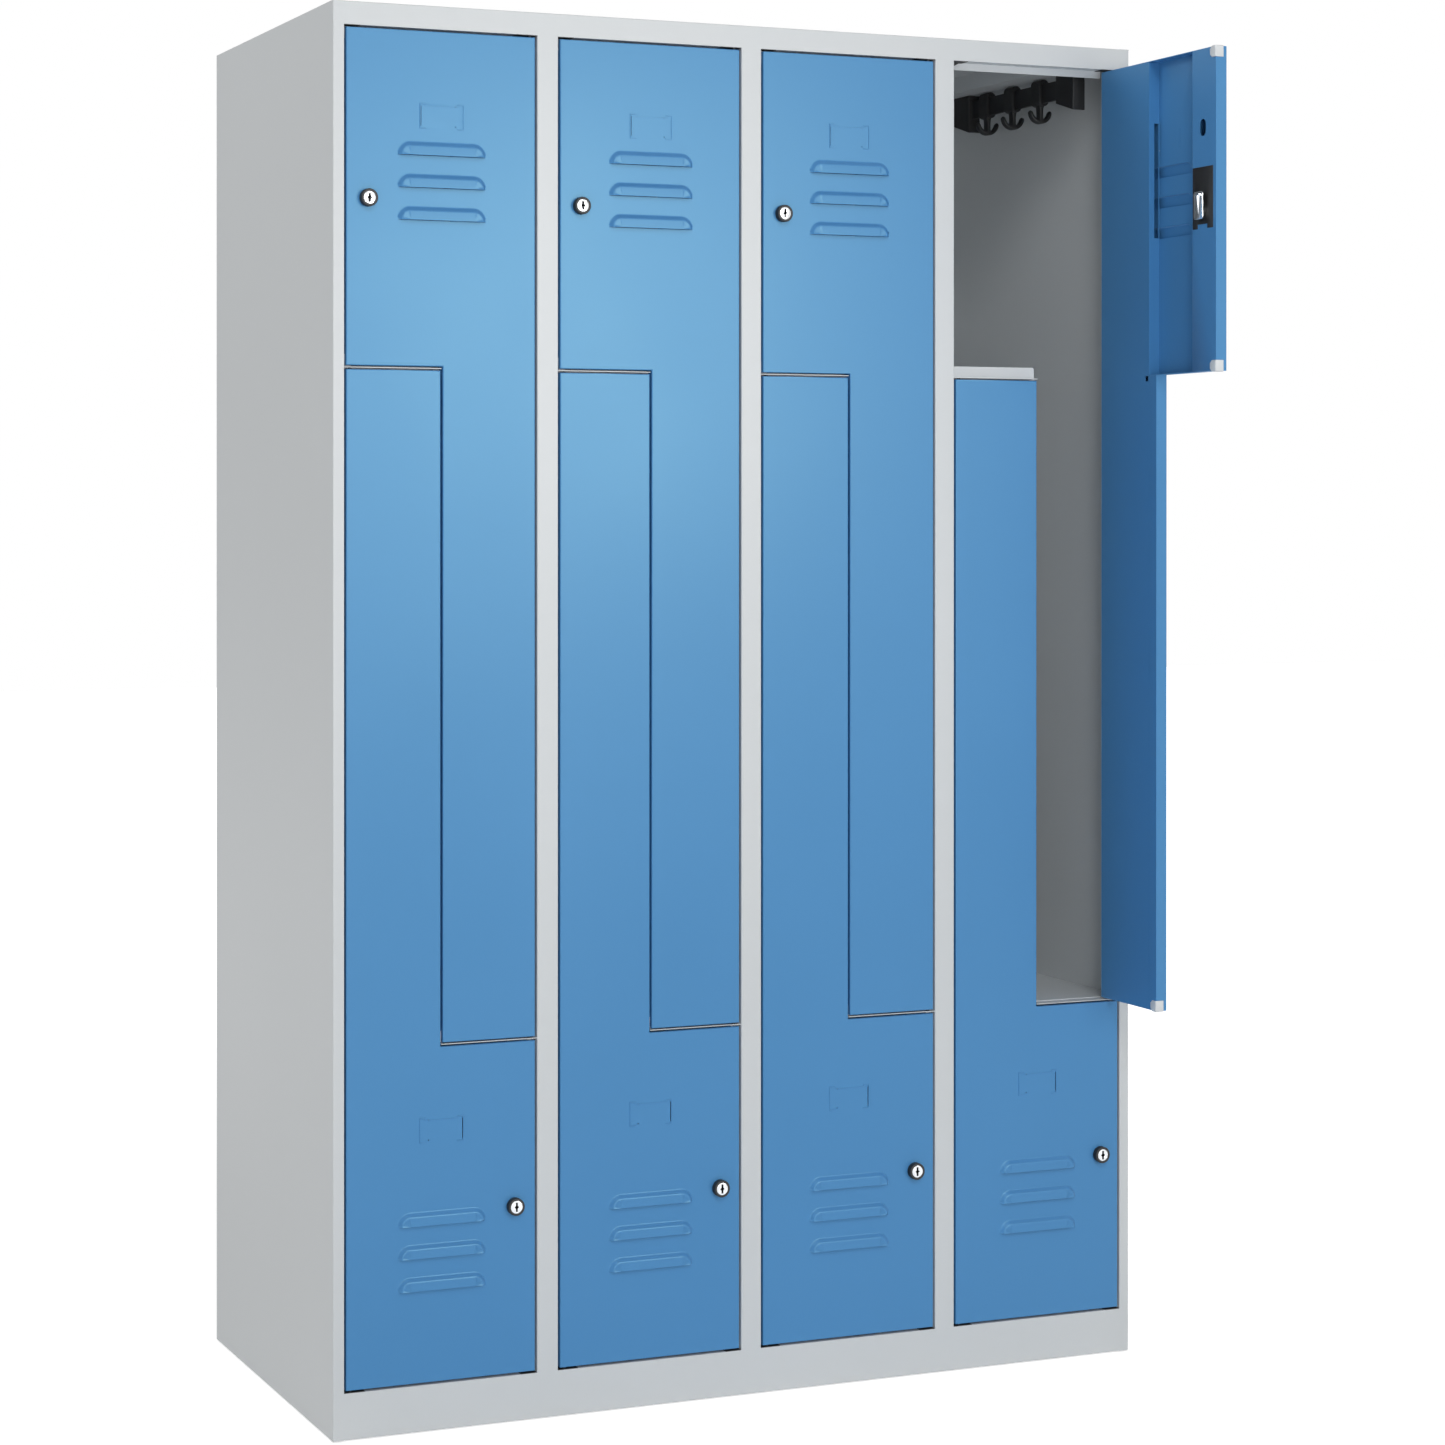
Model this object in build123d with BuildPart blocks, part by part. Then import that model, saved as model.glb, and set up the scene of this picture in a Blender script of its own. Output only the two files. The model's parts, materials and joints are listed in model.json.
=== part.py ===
"""Z locker: a steel cabinet whose columns each hold two interlocking L-shaped compartments.

Millimetres. +Z is up, the front faces -Y, and the origin is the middle of the footprint on the floor.
"""

import os
from dataclasses import dataclass
from math import cos, radians, sin

from build123d import *

os.makedirs("parts", exist_ok=True)

# Overall sizes of the cabinet
cabinet_width = 1200.0
cabinet_depth = 500.0
cabinet_height = 1850.0
column_count = 4
sheet = 1.0
bend_radius = 1.3
foot_height = 2.0

# Front frame: posts between the columns, rails above and below, and the strips that doors stop on
post_width = 30.0
post_depth = 20.5
top_rail_height = 30.0
base_rail_top = 62.0
base_return = 20.0
stop_width = 9.0
stop_height = 10.0
stop_end_gap = 19.0
stop_notch_width = 20.0
stop_notch_slope = 13.0
stop_notch_height = 7.0
rear_flange = 20.0
foot_flange = 34.0

# Doors: gaps around them, their folded depth and how they are hung
door_gap = 3.0
step_gap = 5.0
door_depth = 17.5
door_edge_radius = 1.6
door_open_angle = 90.0
hinge_inset = 9.6
hinge_depth = 4.5
pin_radius = 2.5
pin_clearance = 0.05
pin_reach = 9.0

# The Z: the height of a door's wide part, and the strip in front of the divider
wide_height = 434.5
z_strip_height = 18.0
z_strip_side = 6.0
z_strip_corner = 3.0
running_gap = 1.0
tongue_setback = 1.5

# Inside of a door; a drop is measured from the door's outer end
lock_box_width = 52.0
leg_return = 17.0
seam_gap = 0.15
slot_length = 159.0
slot_width = 7.0
slot_skin_gap = 1.0
slot_drop = 165.0
oval_inset = 29.0
oval_drop = 106.0
oval_width = 13.0
oval_length = 23.0
square_hole = 7.0
square_hole_offset = 4.5

# Pressed louvres and label holder, by their distance from the outer end of an upper or a lower door
louvre_width = 123.0
louvre_height = 17.0
louvre_rise = 5.5
louvre_shoulder = 3.6
louvre_wall = 0.9
louvre_pitch = 42.0
louvre_count = 3
louvre_drop_upper = 245.5
louvre_drop_lower = 120.5
label_drop_upper = 110.0
label_drop_lower = 327.0
label_width = 62.0
label_height = 33.0
label_rise = 0.8
label_line = 1.4
label_tab = 9.0
label_step = 3.0
label_slot = 1.0
label_slot_length = 26.0
label_dot_reach = 19.0

# Lock: its place on the door, the case, the collar, the barrel and the claw
lock_inset = 29.5
lock_drop = 219.0
case_inset = 6.4
case_width = 44.4
case_above = 60.0
case_below = 23.0
case_proud = 0.4
case_notch_width = 21.0
case_notch_height = 6.0
collar_radius = 11.5
collar_neck_radius = 9.6
collar_rise = 8.5
collar_chamfer = 1.0
barrel_radius = 8.3
barrel_clearance = 0.08
barrel_recess = 0.6
keyhole_height = 9.0
keyhole_width = 2.0
keyhole_round = 2.1
keyhole_depth = 3.0
claw_gap = 0.3
claw_hub_radius = 9.0
claw_hub_rise = 4.2
claw_reach = 26.5
claw_heel = 11.0
claw_width = 19.0
claw_thickness = 2.4
claw_lip_rise = 3.0
claw_lip_width = 2.0
claw_corner = 3.5

# Corner buffers
buffer_reach = 12.0
buffer_height = 15.5
buffer_depth = 11.5
buffer_wall = 1.0
buffer_gap = 0.4
buffer_chamfer = 0.8
buffer_corner = 4.0

# Coat rails and hooks
rail_wall_gap = 50.0
rail_front = 49.0
rail_back_gap = 129.0
rail_block_length = 44.0
rail_block_width = 20.0
rail_block_height = 56.5
rail_block_slope = 14.0
rail_drop = 8.0
rail_bar_height = 27.5
rail_bar_width = 6.0
carrier_width = 80.0
carrier_height = 24.0
carrier_front = 30.0
carrier_back_gap = 40.0
hook_shares = (0.24, 0.55, 0.845)
hook_length = 24.0
hook_width = 16.0
hook_wall = 4.0
hook_gap = 0.3
hook_top_rise = 7.0
hook_ring_radius = 19.0
hook_ring_wall = 5.5
hook_ring_length = 12.0
hook_stem_width = 6.0
hook_drop = 25.0

# Feet, floor bearer and wall fixing
foot_radius = 8.0
foot_inset = 21.0
bearer_width = 60.0
bearer_inset = 22.0
fixing_radius = 4.5
fixing_side = 50.0
fixing_low = 150.0
fixing_drop = 100.0

# Cuts run past the face that they open
overrun = 1.0

# Places worked out from the sizes above
left_x = -cabinet_width / 2
right_x = cabinet_width / 2
front_y = -cabinet_depth / 2
back_y = cabinet_depth / 2
pitch = cabinet_width / column_count
opening_half = pitch / 2 - post_width / 2
roof_z = cabinet_height - sheet
soffit_z = cabinet_height - top_rail_height
back_sheet_y = back_y - sheet
inner_back_y = back_sheet_y - sheet
frame_rear_y = front_y + post_depth
strip_front_y = frame_rear_y - sheet
middle_z = (base_rail_top + soffit_z) / 2
opening_rise = soffit_z - middle_z
hinge_y = front_y + hinge_depth
hinge_offset = opening_half - hinge_inset
outer_end = opening_rise - door_gap
wide_end = outer_end - wide_height
step_rise = wide_end - step_gap / 2
strip_top_rise = step_rise - step_gap / 2 + running_gap + z_strip_height
shelf_low_rise = step_rise - step_gap / 2 + running_gap
tongue_rise = step_rise - sheet / 2


def column_centre(column: int) -> float:
    """The X of the middle of a column, counted from 0 at the left."""
    return left_x + pitch * (column + 1 / 2)


def wall_left(column: int) -> float:
    """The face of the wall on the left of a column's inside."""
    return left_x + sheet if column == 0 else left_x + pitch * column + sheet / 2


def wall_right(column: int) -> float:
    """The face of the wall on the right of a column's inside."""
    last = column == column_count - 1
    return right_x - sheet if last else left_x + pitch * (column + 1) - sheet / 2


def plate(x0, x1, y0, y1, z0, z1, mode=Mode.ADD):
    """A flat piece of sheet in the part being built, between two corners."""
    middle = Location(((x0 + x1) / 2, (y0 + y1) / 2, (z0 + z1) / 2))
    with Locations(middle):
        Box(x1 - x0, y1 - y0, z1 - z0, mode=mode)


def stop_strip(column: int, side: int, low_z: float, high_z: float) -> None:
    """The strip on a post that a door's free edge stops on: side -1 is left of the opening."""
    edge = column_centre(column) + side * opening_half
    inner = edge - side * stop_width
    root = edge + side * sheet
    plate(min(root, inner), max(root, inner), strip_front_y, frame_rear_y, low_z, high_z)


def finish(piece, name: str) -> None:
    """Names a finished piece and writes it."""
    piece.part.label = name
    export_step(piece.part, f"parts/{name}.step")


# Carcass


def side_panel(side: int):
    """An outer wall bent round into its front post; side is -1 for the left one and 1 for the right."""
    outer_x = side * cabinet_width / 2
    post_x = outer_x - side * post_width / 2
    column = 0 if side < 0 else column_count - 1
    path = [
        (outer_x - side * rear_flange, back_sheet_y),
        (outer_x, back_sheet_y),
        (outer_x, front_y),
        (post_x, front_y),
        (post_x, frame_rear_y),
        (outer_x - side * (sheet + bend_radius), frame_rear_y),
    ]
    with BuildPart() as panel:
        with BuildSketch(Plane.XY.offset(foot_height)):
            with BuildLine():
                FilletPolyline(*path, radius=(0, bend_radius, 0, bend_radius))
                offset(amount=sheet, side=Side.LEFT if side < 0 else Side.RIGHT)
            make_face()
        extrude(amount=roof_z - foot_height)
        inner_x = outer_x - side * sheet
        flange_x = outer_x - side * foot_flange
        plate(
            min(inner_x, flange_x), max(inner_x, flange_x),
            front_y + base_return, inner_back_y, foot_height, foot_height + sheet,
        )
        if side < 0:
            stop_strip(column, side, middle_z + strip_top_rise, soffit_z - stop_height)
        else:
            stop_strip(column, side, base_rail_top + stop_height, middle_z - strip_top_rise)
    return panel


def partition(number: int):
    """The wall between two columns with its hollow front post and a door stop on each side."""
    x = left_x + pitch * number
    with BuildPart() as wall:
        with BuildSketch(Plane.XY.offset(base_rail_top)):
            with Locations((x, front_y + post_depth / 2)):
                Rectangle(post_width, post_depth)
            fillet(vertices().group_by(Axis.Y)[0], radius=bend_radius)
            with Locations((x, front_y + post_depth / 2)):
                Rectangle(post_width - 2 * sheet, post_depth - 2 * sheet, mode=Mode.SUBTRACT)
        extrude(amount=soffit_z - base_rail_top)
        plate(x - sheet / 2, x + sheet / 2, frame_rear_y, back_sheet_y, base_rail_top, roof_z)
        plate(x, x + rear_flange, inner_back_y, back_sheet_y, base_rail_top, roof_z)
        stop_strip(number - 1, 1, base_rail_top + stop_height, middle_z - strip_top_rise)
        stop_strip(number, -1, middle_z + strip_top_rise, soffit_z - stop_height)
    return wall


def rail_strips(turn: int) -> None:
    """The door stops on a rail, one in each opening: turn is 1 under the roof and -1 on the base."""
    for column in range(column_count):
        x = column_centre(column)
        rail_z = middle_z + turn * opening_rise
        start = x - turn * opening_half
        end = x + turn * (opening_half - stop_end_gap)
        tip = start + turn * stop_notch_width
        notch_z = rail_z - turn * stop_notch_height
        outline = [
            (start, rail_z - turn * stop_height),
            (end, rail_z - turn * stop_height),
            (end, rail_z),
            (tip, rail_z),
            (tip - turn * stop_notch_slope, notch_z),
            (start, notch_z),
        ]
        with BuildSketch(Plane.XZ.offset(-frame_rear_y)) as strip:
            with BuildLine():
                Polyline(*outline, close=True)
            make_face()
        extrude(strip.sketch, amount=sheet)


def top_panel():
    """The roof with its front rail bent down, the door stops and a carrier for each coat rail."""
    path = [
        (back_y, cabinet_height), (front_y, cabinet_height),
        (front_y, soffit_z), (frame_rear_y, soffit_z),
    ]
    with BuildPart() as panel:
        with BuildSketch(Plane.YZ.offset(left_x + post_width / 2)):
            with BuildLine():
                FilletPolyline(*path, radius=(bend_radius, 0))
                offset(amount=sheet, side=Side.LEFT)
            make_face()
        extrude(amount=cabinet_width - post_width)
        for side in (-1, 1):
            outer_x = side * cabinet_width / 2
            post_x = outer_x - side * post_width / 2
            plate(min(outer_x, post_x), max(outer_x, post_x), front_y, back_y, roof_z, cabinet_height)
        rail_strips(1)
        for column in range(column_count):
            x = column_centre(column) + pitch / 2 - rail_wall_gap
            plate(
                x - carrier_width / 2, x + carrier_width / 2,
                front_y + carrier_front, back_y - carrier_back_gap, roof_z - carrier_height, roof_z,
            )
            plate(
                x - carrier_width / 2 + sheet, x + carrier_width / 2 - sheet,
                front_y + carrier_front - overrun, back_y - carrier_back_gap + overrun,
                roof_z - carrier_height + sheet, roof_z,
                mode=Mode.SUBTRACT,
            )
    return panel


def base_rail():
    """The plinth's front, bent back at its top and bottom, with the door stops of the lower doors."""
    path = [
        (front_y + base_return, foot_height), (front_y, foot_height),
        (front_y, base_rail_top), (frame_rear_y, base_rail_top),
    ]
    with BuildPart() as rail:
        with BuildSketch(Plane.YZ.offset(left_x + post_width / 2)):
            with BuildLine():
                FilletPolyline(*path, radius=(bend_radius, 0))
                offset(amount=sheet, side=Side.RIGHT)
            make_face()
        extrude(amount=cabinet_width - post_width)
        rail_strips(-1)
    return rail


def floor_panel():
    """The floor under all columns, with the bearer that stiffens its middle."""
    with BuildPart() as floor:
        plate(
            left_x + sheet, right_x - sheet, frame_rear_y, inner_back_y,
            base_rail_top - sheet, base_rail_top,
        )
        plate(
            -bearer_width / 2, bearer_width / 2,
            front_y + bearer_inset, back_y - bearer_inset, foot_height, base_rail_top - sheet,
        )
        plate(
            sheet - bearer_width / 2, bearer_width / 2 - sheet,
            front_y, back_y, foot_height + sheet, base_rail_top - sheet,
            mode=Mode.SUBTRACT,
        )
    return floor


def back_panel():
    """The flat back sheet with four holes to screw the cabinet to a wall."""
    with BuildPart() as panel:
        plate(left_x, right_x, back_sheet_y, back_y, foot_height, roof_z)
        with BuildSketch(Plane.XZ.offset(-back_y)):
            for side in (-1, 1):
                for hole_z in (fixing_low, cabinet_height - fixing_drop):
                    with Locations((side * (cabinet_width / 2 - fixing_side), hole_z)):
                        Circle(fixing_radius)
        extrude(amount=sheet, mode=Mode.SUBTRACT)
    return panel


def z_divider(column: int):
    """The Z between a column's two compartments: two shelves, the upright web and the front strip."""
    x = column_centre(column)
    strip = [
        (x - opening_half, middle_z + strip_top_rise),
        (x + z_strip_side, middle_z + strip_top_rise),
        (x + z_strip_side, middle_z - shelf_low_rise),
        (x + opening_half, middle_z - shelf_low_rise),
        (x + opening_half, middle_z - strip_top_rise),
        (x - z_strip_side, middle_z - strip_top_rise),
        (x - z_strip_side, middle_z + shelf_low_rise),
        (x - opening_half, middle_z + shelf_low_rise),
    ]
    corners = (0, z_strip_corner, 0, 0, 0, z_strip_corner, 0, 0)
    with BuildPart() as divider:
        with BuildSketch(Plane.XZ.offset(-frame_rear_y)):
            with BuildLine():
                FilletPolyline(*strip, radius=corners, close=True)
            make_face()
        extrude(amount=sheet)
        web_top = middle_z + shelf_low_rise + sheet
        web_low = middle_z - shelf_low_rise - sheet
        plate(x - sheet / 2, x + sheet / 2, frame_rear_y, inner_back_y, web_low, web_top)
        plate(wall_left(column), x + sheet / 2, frame_rear_y, inner_back_y, web_top - sheet, web_top)
        plate(x - sheet / 2, wall_right(column), frame_rear_y, inner_back_y, web_low, web_low + sheet)
        tongue_y = front_y + tongue_setback
        for turn in (-1, 1):
            near = middle_z + turn * tongue_rise
            far = near + turn * sheet
            outer = x - turn * opening_half
            plate(min(outer, x), max(outer, x), tongue_y, strip_front_y, min(near, far), max(near, far))
    return divider


# Doors, each built once for the upper and once for the lower leaf in the leaf's own frame:
# x runs from the hinge line to the free edge, y away from the leg, z from the front face inward


@dataclass(frozen=True)
class Door:
    """A door's place: its column, whether it is the upper one, and how far it stands open."""

    column: int
    upper: bool
    angle: float = 0.0

    @property
    def name(self) -> str:
        """The start of the names of this door's pieces."""
        return f"door_{self.column + 1}_{'upper' if self.upper else 'lower'}"

    @property
    def turn(self) -> int:
        """1 for an upper door; -1 for a lower one, which hangs the other way up."""
        return 1 if self.upper else -1

    @property
    def hinge_x(self) -> float:
        """The X of the line through the door's two pins."""
        return column_centre(self.column) + self.turn * hinge_offset

    @property
    def location(self) -> Location:
        """Where the leaf's own frame stands in the cabinet."""
        swing = radians(self.angle)
        axis_plane = Plane(
            origin=(self.hinge_x, hinge_y, middle_z),
            x_dir=(-self.turn * cos(swing), -sin(swing), 0),
            z_dir=(-self.turn * sin(swing), cos(swing), 0),
        )
        return axis_plane.offset(-hinge_depth).location


def place(piece, door: Door, name: str) -> None:
    """Puts a piece of a door where it belongs and writes it."""
    placed = piece.part.moved(door.location)
    placed.label = f"{door.name}_{name}"
    export_step(placed, f"parts/{placed.label}.step")


def case_outline(gap: float) -> list:
    """The lock case seen from behind, with the notch at its foot, made larger by a gap."""
    near = free_edge - case_inset + gap
    far = free_edge - case_inset - case_width - gap
    foot = lock_rise - case_below - gap
    notch_near = lock_u + case_notch_width / 2 - gap
    notch_far = lock_u - case_notch_width / 2 + gap
    notch_top = foot + case_notch_height
    top = lock_rise + case_above + gap
    return [
        (near, foot), (near, top), (far, top), (far, foot),
        (notch_far, foot), (notch_far, notch_top), (notch_near, notch_top), (notch_near, foot),
    ]


def press_louvre(plane: Plane, profile: list, mode: Mode) -> None:
    """Adds or cuts one louvre body: a straight middle and a quarter turn of the profile at each end."""
    with BuildSketch(plane) as middle:
        with BuildLine():
            Polyline(*profile, close=True)
        make_face()
    extrude(middle.sketch, amount=louvre_flat / 2, both=True, mode=mode)
    for side in (-1, 1):
        end_plane = plane.offset(side * louvre_flat / 2)
        with BuildSketch(end_plane) as end:
            with BuildLine():
                Polyline(*profile, close=True)
            make_face()
        swing_axis = Axis(end_plane.origin, end_plane.y_dir * -side)
        revolve(end.sketch, axis=swing_axis, revolution_arc=90, mode=mode)


def label_holder(turn: int) -> None:
    """Two raised brackets and the line between their upper tabs, round the place of a label."""
    rise = turn * label_centre[turn]
    for side in (-1, 1):
        edge = column_u + side * label_width / 2
        inner = edge - side * label_line
        plate(
            min(edge, inner), max(edge, inner),
            rise - label_height / 2, rise + label_height / 2, -label_rise, 0,
        )
        tab = edge - side * label_tab
        for end in (-1, 1):
            far = rise + end * label_height / 2
            near = far - end * label_line
            plate(min(edge, tab), max(edge, tab), min(far, near), max(far, near), -label_rise, 0)
    top = rise + turn * (label_height / 2 - label_step)
    low = top - turn * label_line / 2
    half = label_width / 2 - label_tab + label_line
    plate(column_u - half, column_u + half, min(top, low), max(top, low), -label_rise / 2, 0)
    slot_u = column_u + label_width / 2 - label_line - label_slot / 2
    with BuildSketch(Plane.XY) as cuts:
        with Locations((slot_u, rise)):
            Rectangle(label_slot, label_slot_length)
        for end in (-1, 1):
            with Locations((column_u - label_dot_reach, rise + end * label_slot_length / 2)):
                Circle(label_slot)
    extrude(cuts.sketch, amount=sheet, mode=Mode.SUBTRACT)


def door_pan(turn: int):
    """The painted front with its folded edges, lock box, louvres and label holder."""
    with BuildPart() as pan:
        with BuildSketch():
            with BuildLine():
                Polyline(*leaf_outline, close=True)
            make_face()
        extrude(amount=door_depth)
        fillet(pan.edges().group_by(Axis.Z)[0], radius=door_edge_radius)
        with BuildSketch(Plane.XY.offset(sheet)):
            with BuildLine():
                Polyline(*leaf_outline, close=True)
            make_face()
            offset(amount=-sheet, kind=Kind.INTERSECTION, mode=Mode.REPLACE)
        extrude(amount=door_depth - sheet, mode=Mode.SUBTRACT)
        box_u = free_edge - lock_box_width
        low_w, high_w = wide_end + sheet, outer_end - sheet
        plate(box_u, free_edge - sheet, low_w, high_w, door_depth - sheet, door_depth)
        plate(box_u, box_u + sheet, low_w, high_w, sheet, door_depth)
        plate(
            stiffener_u + seam_gap, leg_edge - sheet, leg_end + sheet, low_w,
            door_depth - sheet, door_depth,
        )
        with BuildSketch(Plane.XY.offset(door_depth - sheet)):
            with BuildLine():
                Polyline(*case_outline(seam_gap), close=True)
            make_face()
            with Locations((free_edge - oval_inset, oval_centre)):
                SlotOverall(oval_length, oval_width, rotation=90)
        extrude(amount=sheet, mode=Mode.SUBTRACT)
        with BuildSketch():
            with Locations((lock_u, lock_rise)):
                Circle(collar_neck_radius + seam_gap)
        extrude(amount=sheet, mode=Mode.SUBTRACT)
        for end in (outer_end, leg_end):
            with BuildSketch(Plane.XZ.offset(-end)):
                with Locations((0, hinge_depth)):
                    Circle(pin_radius + pin_clearance)
            extrude(amount=2 * sheet, both=True, mode=Mode.SUBTRACT)
        places = [
            Plane(
                origin=(column_u, turn * (louvre_bottom[turn] + louvre_pitch * step), 0),
                x_dir=(0, turn, 0), z_dir=(turn, 0, 0),
            )
            for step in range(louvre_count)
        ]
        for plane in places:
            press_louvre(plane, louvre_outside, Mode.ADD)
        for plane in places:
            press_louvre(plane, louvre_inside, Mode.SUBTRACT)
        label_holder(turn)
    return pan


def door_stiffener():
    """The folded sheet that closes the hinge side of a door from behind."""
    low_w, high_w = leg_end + sheet + seam_gap, outer_end - sheet - seam_gap
    wall_u = stiffener_u - sheet
    with BuildPart() as piece:
        plate(hinge_edge + sheet + seam_gap, stiffener_u, low_w, high_w, door_depth - sheet, door_depth)
        plate(wall_u, stiffener_u, low_w, high_w, sheet, door_depth)
        plate(
            wall_u - overrun, stiffener_u + overrun,
            slot_centre - slot_length / 2, slot_centre + slot_length / 2,
            sheet + slot_skin_gap, sheet + slot_skin_gap + slot_width,
            mode=Mode.SUBTRACT,
        )
        hole_u = wall_u - square_hole_offset
        hole_w = wide_end - square_hole_offset
        plate(
            hole_u - square_hole / 2, hole_u + square_hole / 2,
            hole_w - square_hole / 2, hole_w + square_hole / 2,
            door_depth - sheet, door_depth,
            mode=Mode.SUBTRACT,
        )
    return piece


def lock_case():
    """The black case in the lock box with its round collar in front and the bore for the core."""
    with BuildPart() as case:
        with BuildSketch(Plane.XY.offset(sheet)):
            with BuildLine():
                Polyline(*case_outline(0), close=True)
            make_face()
        extrude(amount=door_depth + case_proud - sheet)
        for radius, depth in ((collar_neck_radius, sheet), (collar_radius, 0)):
            with BuildSketch(Plane.XY.offset(depth)):
                with Locations((lock_u, lock_rise)):
                    Circle(radius)
            extrude(amount=-collar_rise if depth == 0 else -sheet)
        rim = case.faces().sort_by(Axis.Z)[0].edges()
        chamfer(rim, length=collar_chamfer)
        with BuildSketch(Plane.XY.offset(-collar_rise)):
            with Locations((lock_u, lock_rise)):
                Circle(barrel_radius + barrel_clearance)
        extrude(amount=collar_rise + door_depth + case_proud, mode=Mode.SUBTRACT)
    return case


def lock_core():
    """The silver barrel with its keyhole, and behind it the claw, pointing away from the leg."""
    hub_depth = door_depth + case_proud + claw_gap
    claw_depth = hub_depth + claw_hub_rise
    face_depth = barrel_recess - collar_rise
    centre = (lock_u, lock_rise)
    with BuildPart() as core:
        with BuildSketch(Plane.XY.offset(face_depth)):
            with Locations(centre):
                Circle(barrel_radius)
        extrude(amount=hub_depth - face_depth)
        with BuildSketch(Plane.XY.offset(face_depth)):
            with Locations(centre):
                Rectangle(keyhole_width, keyhole_height)
                RegularPolygon(keyhole_round, side_count=4)
        extrude(amount=keyhole_depth, mode=Mode.SUBTRACT)
        with BuildSketch(Plane.XY.offset(hub_depth)):
            with Locations(centre):
                Circle(claw_hub_radius)
        extrude(amount=claw_hub_rise)
        with BuildSketch(Plane.XY.offset(claw_depth)) as outline:
            with Locations((lock_u, lock_rise + (claw_reach - claw_heel) / 2)):
                Rectangle(claw_width, claw_reach + claw_heel)
            fillet(outline.vertices(), radius=claw_corner)
        extrude(amount=claw_thickness)
        lip_w = lock_rise + claw_reach - claw_corner
        plate(
            lock_u - claw_width / 2 + claw_corner, lock_u + claw_width / 2 - claw_corner,
            lip_w - claw_lip_width, lip_w,
            claw_depth, claw_depth + claw_thickness + claw_lip_rise,
        )
        with BuildSketch(Plane.YZ.offset(lock_u - claw_lip_width / 2)):
            with BuildLine():
                Polyline(
                    (lock_rise - claw_heel / 2, claw_depth + claw_thickness),
                    (lip_w, claw_depth + claw_thickness),
                    (lip_w, claw_depth + claw_thickness + claw_lip_rise),
                    close=True,
                )
            make_face()
        extrude(amount=claw_lip_width)
    return core


def corner_cap(edge_u: float, end_w: float) -> Part:
    """A plastic cap on the corner of a leaf that lies at edge_u and end_w."""
    side = 1 if end_w == outer_end else -1
    start = end_w + side * buffer_wall
    stop = start - side * buffer_height
    front = door_depth - buffer_depth
    rear = post_depth - sheet - buffer_gap
    with BuildPart() as cap:
        plate(
            edge_u - buffer_reach, edge_u + buffer_wall,
            min(start, stop), max(start, stop), front, rear,
        )
        upright = cap.edges().filter_by(Axis.Z).sort_by(Axis.X)
        chamfer(upright[:2], length=buffer_corner)
        chamfer(upright[2:].sort_by(Axis.Y)[-1 if side > 0 else 0], length=buffer_chamfer)
        chamfer(cap.faces().sort_by(Axis.Z)[-1].edges(), length=buffer_chamfer)
        plate(
            edge_u - buffer_reach - overrun, edge_u,
            min(end_w, stop - side * overrun), max(end_w, stop - side * overrun),
            front - overrun, door_depth,
            mode=Mode.SUBTRACT,
        )
    return cap.part


def door_buffers():
    """Three plastic caps, on the two free corners of the wide part and on the leg's free corner."""
    corners = ((free_edge, outer_end), (free_edge, wide_end), (leg_edge, leg_end))
    caps = [corner_cap(edge_u, end_w) for edge_u, end_w in corners]
    with BuildPart() as buffers:
        add(caps)
    return buffers


def hinge_pins():
    """Two pins for each door: one on the rail at its outer end, one on the tongue at the leg's end."""
    with BuildPart() as pins:
        for column in range(column_count):
            for turn in (1, -1):
                x = column_centre(column) + turn * hinge_offset
                outer_seat = middle_z + turn * opening_rise
                inner_seat = middle_z - turn * tongue_rise
                for seat, reach in (
                    (outer_seat, -turn * (door_gap + sheet + pin_reach)),
                    (inner_seat, turn * (tongue_rise - (step_rise - step_gap / 2) + sheet + pin_reach)),
                ):
                    with BuildSketch(Plane.XY.offset(seat)):
                        with Locations((x, hinge_y)):
                            Circle(pin_radius)
                    extrude(amount=reach)
    return pins


# Coat rails and hooks


def rail_frame(column: int, turn: int) -> tuple:
    """The X of a compartment's coat rail and the Z of the surface that it hangs from."""
    x = column_centre(column) + turn * (pitch / 2 - rail_wall_gap)
    z = roof_z - carrier_height if turn > 0 else middle_z + shelf_low_rise
    return x, z


def coat_rails():
    """A black bar with two end blocks in every compartment; the blocks are lowest at their front."""
    with BuildPart() as rails:
        for column in range(column_count):
            for turn in (1, -1):
                x, z = rail_frame(column, turn)
                for y in (front_y + rail_front, rail_rear_y - rail_block_length):
                    rear_y = y + rail_block_length
                    block = [
                        (y, z), (rear_y, z),
                        (rear_y, z - rail_block_height + rail_block_slope), (y, z - rail_block_height),
                    ]
                    with BuildSketch(Plane.YZ.offset(x - rail_block_width / 2)):
                        with BuildLine():
                            Polyline(*block, close=True)
                        make_face()
                    extrude(amount=rail_block_width)
                plate(
                    x - rail_bar_width / 2, x + rail_bar_width / 2,
                    front_y + rail_front + rail_block_length / 2, rail_rear_y - rail_block_length / 2,
                    z - rail_drop - rail_bar_height, z - rail_drop,
                )
    return rails


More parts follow.
